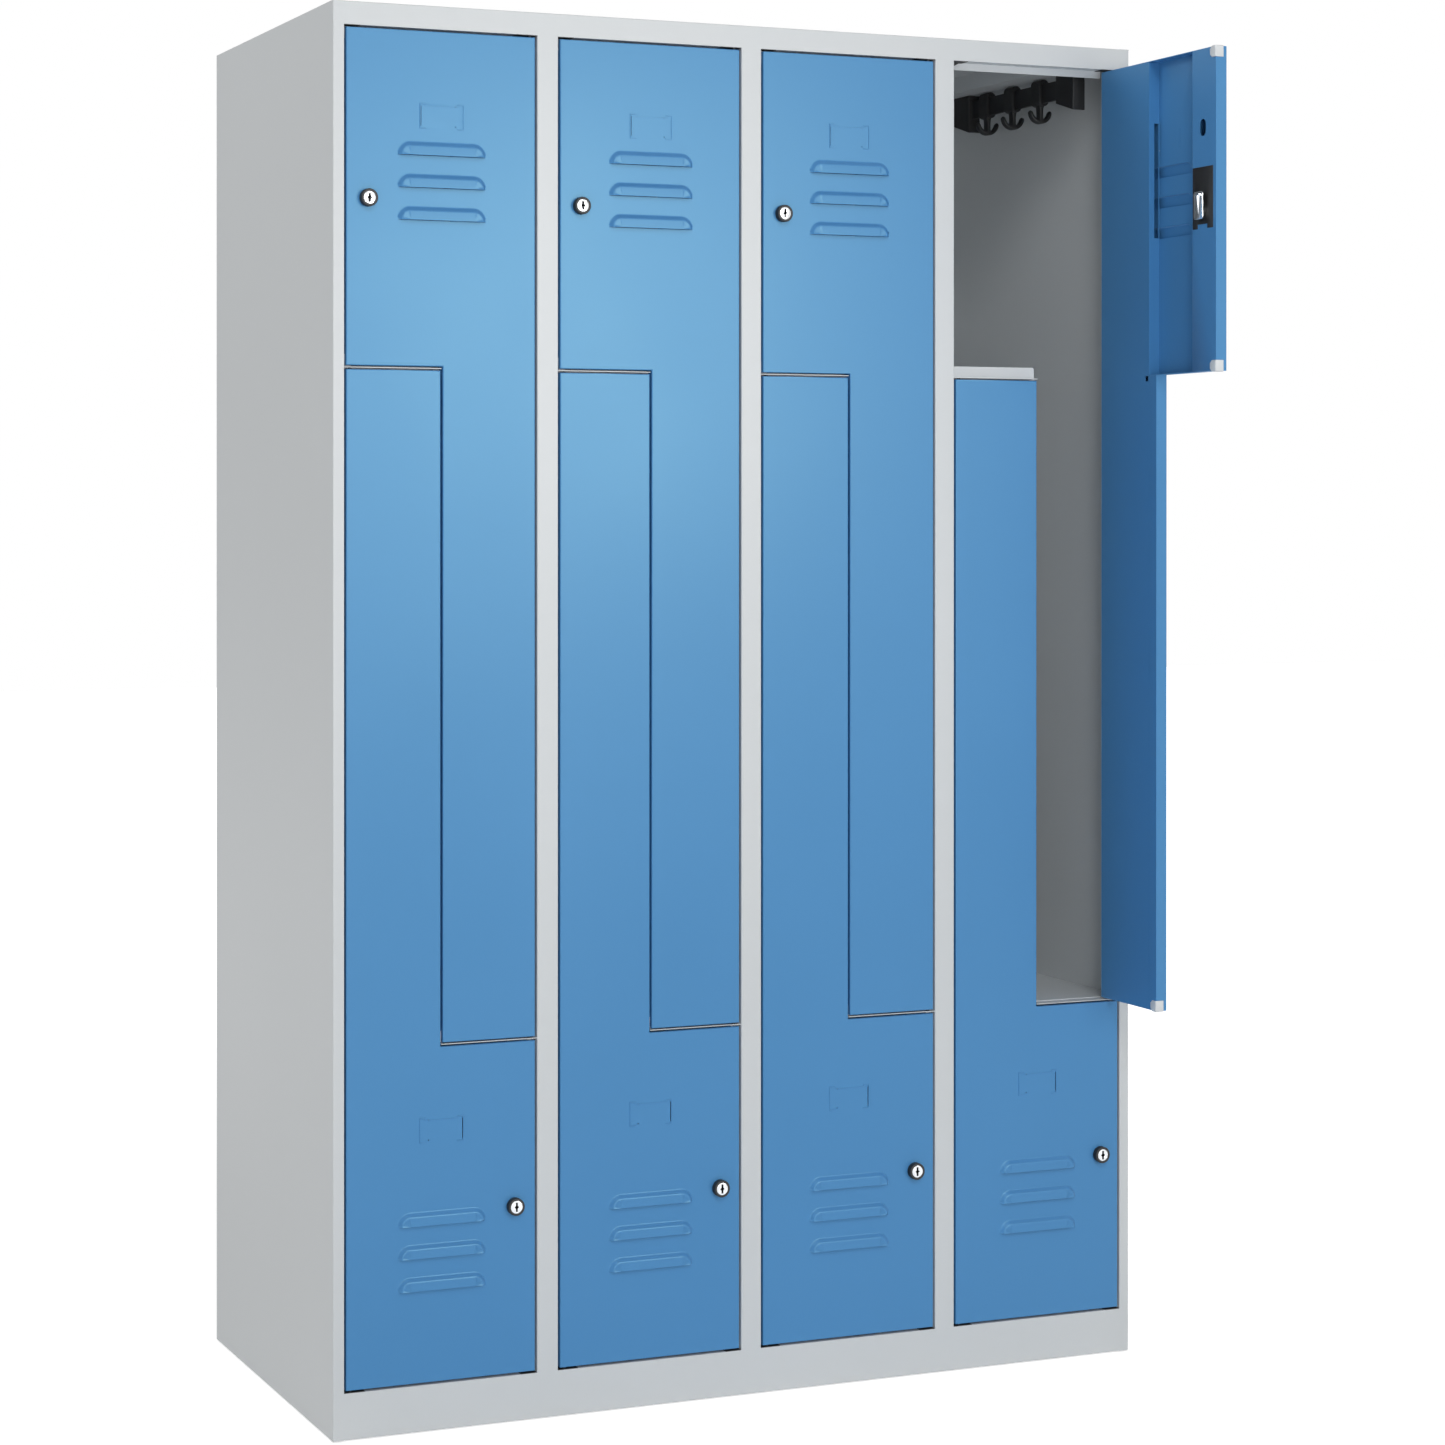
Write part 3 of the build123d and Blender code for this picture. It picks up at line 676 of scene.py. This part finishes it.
@dataclass
class Door:
    """One L-shaped door: pan, stiffener, lock case, lock core with its claw, and corner buffers."""

    palette: Palette
    column: int
    upper: bool
    hinge_depth_mm: float = 4.5
    lock_across_mm: float = 227.9
    lock_rise_mm: float = 657.0
    face_rise_mm: float = 7.9
    keyhole_height_mm: float = 12.0
    keyhole_width_mm: float = 2.6
    keyhole_diamond_mm: float = 3.2
    keyhole_depth_mm: float = 5.0
    cutter_start_mm: float = 1.0
    keyway_margin_mm: float = 0.1
    keyway_start_mm: float = 0.05
    core_edge_mm: float = 0.25
    case_edge_mm: float = 0.35
    buffer_edge_mm: float = 0.4
    pressed_span_mm: tuple[float, float] = (60.0, 190.0)
    louvre_middle_mm: float = 125.4
    louvre_flat_mm: float = 89.0
    louvre_lines_mm: tuple[float, float, float] = (630.5, 672.5, 714.5)
    lower_louvre_lines_mm: tuple[float, float, float] = (755.5, 713.5, 671.5)
    shoulder_depth_mm: tuple[float, float] = (-3.6, -5.0)
    shoulder_radius_mm: tuple[float, float] = (13.4, 12.3)
    depth_slack_mm: float = 0.02
    label_reach_mm: float = 20.0
    upper_label_rise_mm: float = 766.0
    lower_label_rise_mm: float = 549.0

    @property
    def name(self) -> str:
        """The start of the names of this door's pieces, which is also its body."""
        return f"door_{self.column}_{'upper' if self.upper else 'lower'}"

    @property
    def lock_body(self) -> str:
        """The body of this door's lock core."""
        return self.name.replace("door", "lock")

    @property
    def leaf(self) -> Matrix:
        """The leaf's own frame: x to the free edge, y away from the leg, z from the face inward."""
        joint = next(j for j in frame["joints"] if j["name"] == f"{self.name}_hinge")
        # Every door is shut at its joint's lower limit, and only the open one rests away from it
        swing = math.radians(-joint["range_deg"][0])
        turn = 1 if self.upper else -1
        along = Vector((-turn * math.cos(swing), -math.sin(swing), 0))
        inward = Vector((-turn * math.sin(swing), math.cos(swing), 0))
        away = inward.cross(along)
        origin = Vector(joint["pos_m"]) - inward * self.hinge_depth_mm * MM
        return Matrix((
            (along.x, away.x, inward.x, origin.x),
            (along.y, away.y, inward.y, origin.y),
            (along.z, away.z, inward.z, origin.z),
            (0, 0, 0, 1),
        ))

    @property
    def louvre_lines(self) -> tuple[float, float, float]:
        """Where the slit of each louvre lies, away from the leg."""
        return self.louvre_lines_mm if self.upper else self.lower_louvre_lines_mm

    def raise_shoulders(self, mesh: Mesh) -> None:
        """Draws the shoulder of each louvre forward and in, so that its hood lies nearly flat.

        Args:
            mesh: The pan's merged mesh.
        """
        side = 1 if self.upper else -1
        to_leaf = self.leaf.inverted()
        old_depth, new_depth = self.shoulder_depth_mm
        old_radius, new_radius = self.shoulder_radius_mm
        half = self.louvre_flat_mm / 2
        for corner in mesh.vertices:
            across, rise, depth = to_leaf @ corner.co / MM
            if abs(depth - old_depth) > self.depth_slack_mm:
                continue
            line = min(self.louvre_lines, key=lambda one: abs(side * (rise - one) - old_radius / 2))
            offset = across - self.louvre_middle_mm
            centre = max(-half, min(half, offset))
            shrink = new_radius / old_radius
            moved = Vector((
                self.louvre_middle_mm + centre + (offset - centre) * shrink,
                line + (rise - line) * shrink,
                new_depth,
            ))
            corner.co = self.leaf @ (moved * MM)

    def round_creases(self, mesh: Mesh, crease: Crease) -> None:
        """Rounds the edges of the pan that lie at one depth of its louvres or its label holder.

        Args:
            mesh: The pan's merged mesh.
            crease: Which edges, and how far their rounding reaches.
        """
        to_leaf = self.leaf.inverted()
        label = self.upper_label_rise_mm if self.upper else self.lower_label_rise_mm
        least, most = (math.radians(degrees) for degrees in crease.bend_degrees)

        def lies_there(corner: bmesh.types.BMVert) -> bool:
            """Tells whether a corner belongs to the crease.

            Args:
                corner: A corner of the pan's mesh.

            Returns:
                Whether it is at the crease's depth, on the louvres or on the label holder.
            """
            across, rise, depth = to_leaf @ corner.co / MM
            low, high = self.pressed_span_mm
            by_label = abs(rise - label) < self.label_reach_mm
            clear = min(abs(rise - line) for line in self.louvre_lines) > crease.clear_mm
            pressed = low < across < high and by_label == crease.on_label
            return abs(depth - crease.depth_mm) < self.depth_slack_mm and pressed and clear

        work = bmesh.new()
        work.from_mesh(mesh)
        edges = [
            edge for edge in work.edges
            if len(edge.link_faces) == 2 and all(map(lies_there, edge.verts))
            and least < edge.calc_face_angle() < most
        ]
        bmesh.ops.bevel(
            work, geom=edges, offset=crease.width_mm * MM, offset_type="OFFSET",
            segments=crease.segments, profile=crease.profile, affect="EDGES",
            clamp_overlap=False,
        )
        work.to_mesh(mesh)
        work.free()

    def pan(self) -> None:
        """The folded front sheet, with the edges of its louvres and label holder rounded."""
        node = f"{self.name}_pan"
        mesh = merged_copy(node)
        self.raise_shoulders(mesh)
        for crease in PRESSED_CREASES:
            self.round_creases(mesh, crease)
        piece = new_piece(f"{node}_pressed", mesh, self.palette.door)
        even_shading(piece)
        stand_in(piece, self.name, node)

    def keyhole(self) -> Mesh:
        """A slot with a diamond across its middle, as a prism that enters the barrel's face.

        Returns:
            The prism's mesh.
        """
        half_w, half_h = self.keyhole_width_mm / 2, self.keyhole_height_mm / 2
        bulge = self.keyhole_diamond_mm
        flank = bulge - half_w
        right = [
            (half_w, half_h), (half_w, flank), (bulge, 0.0), (half_w, -flank), (half_w, -half_h),
        ]
        outline = right + [(-x, -y) for x, y in right]
        front = -self.face_rise_mm - self.cutter_start_mm
        rear = -self.face_rise_mm + self.keyhole_depth_mm
        rings = [
            [Vector((self.lock_across_mm + x, self.lock_rise_mm + y, depth)) for x, y in outline]
            for depth in (front, rear)
        ]
        mesh = skin("keyhole", rings)
        mesh.transform(self.leaf)
        return mesh

    def lock_core(self) -> None:
        """The bright barrel with its dark keyway and the claw behind it."""
        node = f"{self.name}_lock_core"
        barrel = new_piece("barrel_blank", merged_copy(node))
        cutter = new_piece("keyhole_cutter", self.keyhole())
        cut = barrel.modifiers.new("keyhole", "BOOLEAN")
        cut.operation, cut.solver, cut.object = "DIFFERENCE", "EXACT", cutter
        evaluated = barrel.evaluated_get(bpy.context.evaluated_depsgraph_get())
        mesh = bpy.data.meshes.new_from_object(evaluated)
        discard(barrel, cutter)
        piece = new_piece(f"{node}_plated", mesh, self.palette.lock, self.palette.keyway)
        to_leaf = self.leaf.inverted()
        centre = Vector((self.lock_across_mm, self.lock_rise_mm))
        reach = self.keyhole_height_mm / 2 + self.keyway_margin_mm
        # Faces sunk in the keyway take the near-black painted shade
        for face in mesh.polygons:
            spot = to_leaf @ face.center / MM
            near = (spot.xy - centre).length < reach
            sunk = -self.face_rise_mm + self.keyway_start_mm < spot.z < 0
            face.material_index = int(near and sunk)
        soften(piece, self.core_edge_mm)
        stand_in(piece, self.lock_body, node)

    def build(self) -> None:
        """Dresses and builds every piece of the door, from the pan to its three soft buffers."""
        look = self.palette
        self.pan()
        dress(f"{self.name}_stiffener", look.door)
        case, buffers = f"{self.name}_lock_case", f"{self.name}_buffers"
        moulded(case, self.name, look.black, self.case_edge_mm)
        self.lock_core()
        moulded(buffers, self.name, look.buffer, self.buffer_edge_mm)


@dataclass
class CoatHook:
    """A moulded double hook: a sleeve round the rail's bar, and an upturned arm to each side."""

    sleeve_width_mm: float = 16.0
    sleeve_length_mm: float = 24.0
    sleeve_top_mm: float = 7.0
    sleeve_low_mm: float = -31.5
    sleeve_corner_mm: float = 7.4
    sleeve_chamfer_mm: float = 1.1
    bar_width_mm: float = 6.6
    bar_top_mm: float = 0.3
    bar_low_mm: float = -27.8
    arm_centre_mm: float = -37.5
    arm_radius_mm: float = 16.25
    arm_root_mm: tuple[float, float] = (5.5, 12.0)
    arm_tip_mm: tuple[float, float] = (4.3, 8.4)
    arm_corner_share: float = 0.32
    arm_steps: int = 28
    tip_share: float = 0.16
    tip_least: float = 0.3
    bore_corner_mm: float = 0.6
    stem_mm: tuple[float, float] = (5.6, 11.6)
    stem_corner_share: float = 0.3
    stem_overlap_mm: float = 1.5
    stem_flares: tuple[tuple[float, float], ...] = (
        (0.0, 1.5), (0.12, 0.7), (0.28, 0.15), (0.6, 0.0), (0.85, 0.5), (1.0, 2.0),
    )
    flare_length_share: float = 0.4
    corner_steps: int = 4

    def sleeve(self) -> Mesh:
        """The closed sleeve, whose ends are chamfered.

        Returns:
            Its mesh.
        """
        height = self.sleeve_top_mm - self.sleeve_low_mm
        middle = (self.sleeve_top_mm + self.sleeve_low_mm) / 2
        hole_height = self.bar_top_mm - self.bar_low_mm
        hole_middle = (self.bar_top_mm + self.bar_low_mm) / 2
        end, cut = self.sleeve_length_mm / 2, self.sleeve_chamfer_mm

        def stand(ring: list[Vector], along: float, rise: float) -> list[Vector]:
            """Turns a flat ring upright across the rail, at a place along it."""
            return [Vector((point.x, along, point.y + rise)) for point in ring]

        rings = []
        for along, inset in ((-end, cut), (-end + cut, 0.0), (end - cut, 0.0), (end, cut)):
            outside = rounded_ring(
                self.sleeve_width_mm - 2 * inset, height - 2 * inset, self.sleeve_corner_mm - inset,
            )
            rings.append(stand(outside, along, middle))
        for along in (end, -end):
            inside = rounded_ring(self.bar_width_mm, hole_height, self.bore_corner_mm)
            rings.append(stand(inside, along, hole_middle))
        return skin("sleeve", rings, looped=True)

    def arms(self) -> Mesh:
        """Both arms as one half ring, thinner and narrower to its rounded tips.

        Returns:
            Their mesh.
        """
        rings = []
        for step in range(-self.arm_steps, self.arm_steps + 1):
            share = step / self.arm_steps
            angle = math.radians(-90 + 90 * share)
            gone = max(0.0, (abs(share) - 1 + self.tip_share) / self.tip_share)
            round_off = max(self.tip_least, math.sqrt(1 - gone * gone)) if gone else 1.0
            thick, wide = (
                (root + (tip - root) * abs(share)) * round_off
                for root, tip in zip(self.arm_root_mm, self.arm_tip_mm)
            )
            outward = Vector((math.cos(angle), 0, math.sin(angle)))
            spot = Vector((0, 0, self.arm_centre_mm)) + outward * self.arm_radius_mm
            corner = min(thick, wide) * self.arm_corner_share
            section = rounded_ring(thick, wide, corner, self.corner_steps)
            rings.append([spot + outward * point.x + Vector((0, point.y, 0)) for point in section])
        return skin("arms", rings)

    def stem(self) -> Mesh:
        """The post between the sleeve and the arms, flared where it meets each.

        Returns:
            Its mesh.
        """
        wide, long = self.stem_mm
        low = self.arm_centre_mm - self.arm_radius_mm
        high = self.sleeve_low_mm + self.stem_overlap_mm
        rings = []
        for share, flare in self.stem_flares:
            section = rounded_ring(
                wide + 2 * flare, long + self.flare_length_share * flare,
                wide * self.stem_corner_share, self.corner_steps,
            )
            rise = low + (high - low) * share
            rings.append([Vector((point.x, point.y, rise)) for point in section])
        return skin("stem", rings)

    def mesh(self) -> Mesh:
        """The whole hook, with the top of the rail's bar at the origin."""
        return joined("coat_hook", [self.sleeve(), self.arms(), self.stem()])


@dataclass
class CoatRails:
    """The black bars and their end blocks, with the hooks that slide on them."""

    palette: Palette
    rail_edge_mm: float = 0.9
    rail_offset_mm: float = 100.0
    upper_bar_top_mm: float = 1817.0
    lower_bar_top_mm: float = 1370.5
    hook_places_mm: tuple[float, float, float] = (-100.84, -28.3, 40.73)
    hook_names: tuple[str, str, str] = ("front", "middle", "rear")

    def place(self, column: int, upper: bool, along: float) -> tuple[float, float, float]:
        """Where a hook's bar top lies.

        Args:
            column: The column, from 1 at the left.
            upper: Whether it is the upper compartment.
            along: The hook's place from front to back.

        Returns:
            The place in millimetres.
        """
        side = self.rail_offset_mm if upper else -self.rail_offset_mm
        rise = self.upper_bar_top_mm if upper else self.lower_bar_top_mm
        return column_middle(column) + side, along, rise

    def hooks(self, node: str, body: str, places: list[tuple[float, float, float]]) -> None:
        """Sets one body's hooks along their bars.

        Args:
            node: The CAD node that they stand for.
            body: The body that they slide with.
            places: Their bar tops, in millimetres.
        """
        copies = Copies(node, CoatHook().mesh(), self.palette.black, places)
        piece = new_piece(f"{node}_moulded", copies.mesh(), self.palette.black)
        stand_in(piece, body, node)

    def build(self) -> None:
        """Builds the rails and the hooks."""
        black = self.palette.black
        moulded("coat_rails", "cabinet", black, self.rail_edge_mm, segments=3)
        for name, along in zip(self.hook_names, self.hook_places_mm):
            self.hooks(f"coat_hook_{name}", f"hook_{name}", [self.place(OPEN_COLUMN, True, along)])
        closed = [
            self.place(column, upper, along)
            for column in COLUMNS
            for upper in (True, False)
            for along in self.hook_places_mm
            if not (column == OPEN_COLUMN and upper)
        ]
        self.hooks("closed_locker_hooks", "closed_locker_hooks", closed)


@dataclass
class CornerShadePads:
    """The black pads at the corners of every opening's outer edge, which paint the shade of the
    notch and the gaps there.

    One closes the notch of the door stop, behind the door's buffer. A thin one lines the rail's lip
    in front of it, and another lines the lip round the hinge pin at the opening's other end.
    """

    palette: Palette
    opening_half_mm: float = 135.0
    opening_rise_mm: float = 879.0
    depth_mm: tuple[float, float] = (-230.7, -229.2)
    outline_mm: tuple[tuple[float, float], ...] = (
        (0.1, -0.1), (19.6, -0.1), (6.9, -6.9), (0.1, -6.9),
    )
    lip_depth_mm: tuple[float, float] = (-249.2, -231.3)
    lip_rise_mm: tuple[float, float] = (-0.7, -0.05)
    lip_spans_mm: tuple[tuple[float, float], ...] = ((0.1, 23.0), (241.0, 269.9))

    def shape(self) -> Mesh:
        """The three pads of one opening, from the opening's free corner.

        Returns:
            Their mesh.
        """
        rings = [[Vector((x, depth, z)) for x, z in self.outline_mm] for depth in self.depth_mm]
        parts = [skin("stop_pad", rings)]
        low, high = self.lip_rise_mm
        for left, right in self.lip_spans_mm:
            corners = ((left, high), (right, high), (right, low), (left, low))
            rings = [[Vector((x, depth, z)) for x, z in corners] for depth in self.lip_depth_mm]
            parts.append(skin("lip_pad", rings))
        return joined("pads", parts)

    def build(self) -> None:
        """Sets the pads in all eight openings, upside down on the base rail."""
        places, turns = [], []
        for column in COLUMNS:
            for side in (1, -1):
                across = column_middle(column) - side * self.opening_half_mm
                places.append((across, 0.0, MIDDLE_RISE_MM + side * self.opening_rise_mm))
                turns.append(0.0 if side > 0 else math.pi)
        # The pads take the black plastic as painted shade in the corner notches and gaps
        copies = Copies("corner_pads", self.shape(), self.palette.black, places, turns=turns)
        piece = new_piece("corner_pads", copies.mesh(), self.palette.black)
        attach(piece, "cabinet")
        log.info("%s adds pads to %d openings", piece.name, len(places))


@dataclass
class Hardware:
    """Hinge pins and levelling feet, both round parts that repeat."""

    palette: Palette
    pin_radius_mm: float = 2.5
    pin_chamfer_mm: float = 0.6
    pin_length_mm: float = 13.0
    inner_pin_length_mm: float = 12.0
    outer_seat_mm: float = 879.0
    inner_seat_mm: float = 438.5
    foot_radius_mm: float = 8.0
    foot_height_mm: float = 2.0
    foot_chamfer_mm: float = 0.5
    foot_place_mm: tuple[float, float] = (579.0, 229.0)
    pin_sides: int = 20
    foot_sides: int = 32

    @staticmethod
    def turned(name: str, radius: float, length: float, chamfer: float, sides: int) -> Mesh:
        """A short round part with a chamfer at both ends, centred on the origin.

        Args:
            name: The mesh's name.
            radius: Its radius.
            length: Its length.
            chamfer: The chamfer's size.
            sides: Points round it.

        Returns:
            The mesh.
        """
        half = length / 2
        rings = []
        for rise, girth in (
            (-half, radius - chamfer), (chamfer - half, radius),
            (half - chamfer, radius), (half, radius - chamfer),
        ):
            turns = [2 * math.pi * side / sides for side in range(sides)]
            rings.append([Vector((girth * math.cos(t), girth * math.sin(t), rise)) for t in turns])
        return skin(name, rings, sharp_degrees=35.0)

    def pins(self) -> None:
        """Two pins for each door, on its hinge line, drawn near black."""
        places, stretches = [], []
        for joint in frame["joints"]:
            if not joint["name"].startswith("door_"):
                continue
            turn = 1 if "_upper_" in joint["name"] else -1
            x, y, _ = (value / MM for value in joint["pos_m"])
            outer = self.outer_seat_mm - self.pin_length_mm / 2
            inner = self.inner_seat_mm - self.inner_pin_length_mm / 2
            places += [(x, y, MIDDLE_RISE_MM + turn * rise) for rise in (outer, -inner)]
            stretches += [1.0, self.inner_pin_length_mm / self.pin_length_mm]
        shape = self.turned(
            "hinge_pin", self.pin_radius_mm, self.pin_length_mm, self.pin_chamfer_mm,
            self.pin_sides,
        )
        copies = Copies("hinge_pins", shape, self.palette.pin, places, stretches)
        piece = new_piece("hinge_pins_turned", copies.mesh(), self.palette.pin)
        stand_in(piece, "cabinet", "hinge_pins")

    def feet(self) -> None:
        """Four moulded glides under the corners."""
        across, deep = self.foot_place_mm
        rise = self.foot_height_mm / 2
        places = [(side * across, end * deep, rise) for side in (-1, 1) for end in (-1, 1)]
        shape = self.turned(
            "glide", self.foot_radius_mm, self.foot_height_mm, self.foot_chamfer_mm,
            self.foot_sides,
        )
        copies = Copies("levelling_feet", shape, self.palette.foot, places)
        piece = new_piece("levelling_feet_moulded", copies.mesh(), self.palette.foot)
        stand_in(piece, "cabinet", "levelling_feet")

    def build(self) -> None:
        """Builds the pins and the feet."""
        self.pins()
        self.feet()


# Camera, stage and light


@dataclass(frozen=True)
class PhotographCamera:
    """The camera that the photograph was taken with, fitted to the cabinet's edges."""

    focal_pixels: float = 2952.67
    axis_pixel_x: float = 366.303
    axis_pixel_y: float = 511.682
    position: tuple[float, float, float] = (-1.86671, -3.81378, 1.19912)
    yaw: float = 0.3528
    pitch: float = -0.0013

    def build(self) -> None:
        """Adds the camera and makes it the scene's own."""
        data = bpy.data.cameras.new("photograph_camera")
        data.sensor_width = SENSOR_WIDTH
        data.lens = self.focal_pixels / PHOTO_SIDE * SENSOR_WIDTH
        data.shift_x = (PHOTO_SIDE / 2 - self.axis_pixel_x) / PHOTO_SIDE
        data.shift_y = (self.axis_pixel_y - PHOTO_SIDE / 2) / PHOTO_SIDE
        camera = bpy.data.objects.new("photograph_camera", data)
        camera.location = self.position
        camera.rotation_euler = (math.pi / 2 + self.pitch, 0, -self.yaw)
        bpy.context.scene.collection.objects.link(camera)
        bpy.context.scene.camera = camera


@dataclass(frozen=True)
class Softbox:
    """A large soft lamp aimed at the locker. A card shows in gloss only and sheds no light."""

    name: str
    place: tuple[float, float, float]
    target: tuple[float, float, float]
    width: float
    height: float
    watts: float
    card: bool = False

    def build(self) -> None:
        """Adds the lamp."""
        data = bpy.data.lights.new(self.name, "AREA")
        data.shape = "RECTANGLE"
        data.size, data.size_y = self.width, self.height
        data.energy = self.watts
        lamp = bpy.data.objects.new(self.name, data)
        lamp.location = self.place
        aim = Vector(self.target) - Vector(self.place)
        lamp.rotation_euler = aim.to_track_quat("-Z", "Y").to_euler()
        lamp.visible_diffuse = not self.card
        bpy.context.scene.collection.objects.link(lamp)


def where_seen(tree: NodeTree) -> NodeSocket:
    """Tells the rays that show a background from those that let it light the locker.

    Args:
        tree: The shader tree that receives the nodes.

    Returns:
        A socket that is 1 for rays from the camera, off gloss or through glass, and 0 for others.
    """
    rays = add_node(tree, "ShaderNodeLightPath").outputs
    seen = rays["Is Camera Ray"]
    for other in ("Is Glossy Ray", "Is Transmission Ray"):
        either = add_node(tree, "ShaderNodeMath", {0: seen, 1: rays[other]}, operation="MAXIMUM")
        seen = either.outputs["Value"]
    return seen


@dataclass(frozen=True)
class Studio:
    """A plain pale floor under a white surround, with soft lamps in front and on the left."""

    floor_side: float = 30.0
    floor_colour: str = "F2F2F2"
    floor_roughness: float = 0.9
    surround_colour: str = "FFFFFF"
    ambient: float = 0.33
    floor_glow: float = 0.6
    paper_reach: tuple[float, float] = (1.2, 3.6)
    lamps: tuple[Softbox, ...] = (
        Softbox("key_softbox", (1.05, -3.6, 1.62), (-0.1, -0.25, 1.2), 1.3, 0.9, 22.0),
        Softbox("gloss_card", (1.0, -3.6, 1.72), (-0.3, -0.25, 1.45), 1.2, 0.8, 43.0, card=True),
        Softbox("high_softbox", (-1.1, -4.6, 4.7), (0.2, -0.1, 0.9), 1.8, 1.8, 80.0),
        Softbox("front_fill", (-1.4, -4.4, 1.0), (0.5, 0.0, 0.9), 1.0, 1.0, 32.0),
        Softbox("left_softbox", (-4.4, 1.5, 4.4), (-0.6, 0.0, 1.7), 2.0, 1.6, 54.0),
    )

    def floor(self) -> None:
        """Adds the floor, which glows a little for the camera so that it renders white."""
        half = self.floor_side / 2
        mesh = bpy.data.meshes.new("floor")
        corners = [(-half, -half, 0), (half, -half, 0), (half, half, 0), (-half, half, 0)]
        mesh.from_pydata(corners, [], [(0, 1, 2, 3)])
        made = bpy.data.materials.new("white_studio_paper")
        made.use_nodes = True
        tree = made.node_tree
        shader = tree.nodes["Principled BSDF"]
        shader.inputs["Base Color"].default_value = linear(self.floor_colour)
        shader.inputs["Roughness"].default_value = self.floor_roughness
        shader.inputs["Emission Color"].default_value = linear(self.surround_colour)
        # Far from the locker the paper fades into the white surround, so that no horizon shows
        place = add_node(tree, "ShaderNodeTexCoord").outputs["Object"]
        away = add_node(tree, "ShaderNodeVectorMath", {0: place}, operation="LENGTH")
        near, far = self.paper_reach
        fade = add_node(
            tree, "ShaderNodeMapRange",
            {
                "Value": away.outputs["Value"], "From Min": near, "From Max": far,
                "To Min": self.floor_glow, "To Max": 1.0,
            },
        )
        glow = add_node(
            tree, "ShaderNodeMath",
            {0: where_seen(tree), 1: fade.outputs["Result"]}, operation="MULTIPLY",
        )
        tree.links.new(glow.outputs["Value"], shader.inputs["Emission Strength"])
        floor = new_piece("floor", mesh, made)

    def surround(self) -> None:
        """Makes the world white where it is seen and softer where it lights."""
        world = bpy.data.worlds.new("surround")
        bpy.context.scene.world = world
        world.use_nodes = True
        tree = world.node_tree
        back = tree.nodes["Background"]
        back.inputs["Color"].default_value = linear(self.surround_colour)
        strength = add_node(
            tree, "ShaderNodeMapRange",
            {"Value": where_seen(tree), "To Min": self.ambient, "To Max": 1.0},
        )
        tree.links.new(strength.outputs["Result"], back.inputs["Strength"])

    def build(self) -> None:
        """Adds the floor, the surround and the lamps."""
        self.floor()
        self.surround()
        for lamp in self.lamps:
            lamp.build()
        bpy.context.scene.view_settings.view_transform = "Standard"


def main() -> None:
    """Builds the locker's looks, piece by piece, and the studio around it."""
    logging.basicConfig(level=logging.INFO, format="%(name)s: %(message)s")
    PhotographCamera().build()
    Studio().build()
    palette = Palette()
    Carcass(palette).build()
    for column in COLUMNS:
        for upper in (True, False):
            Door(palette, column, upper).build()
    CoatRails(palette).build()
    CornerShadePads(palette).build()
    Hardware(palette).build()


if __name__ == "__main__":
    main()
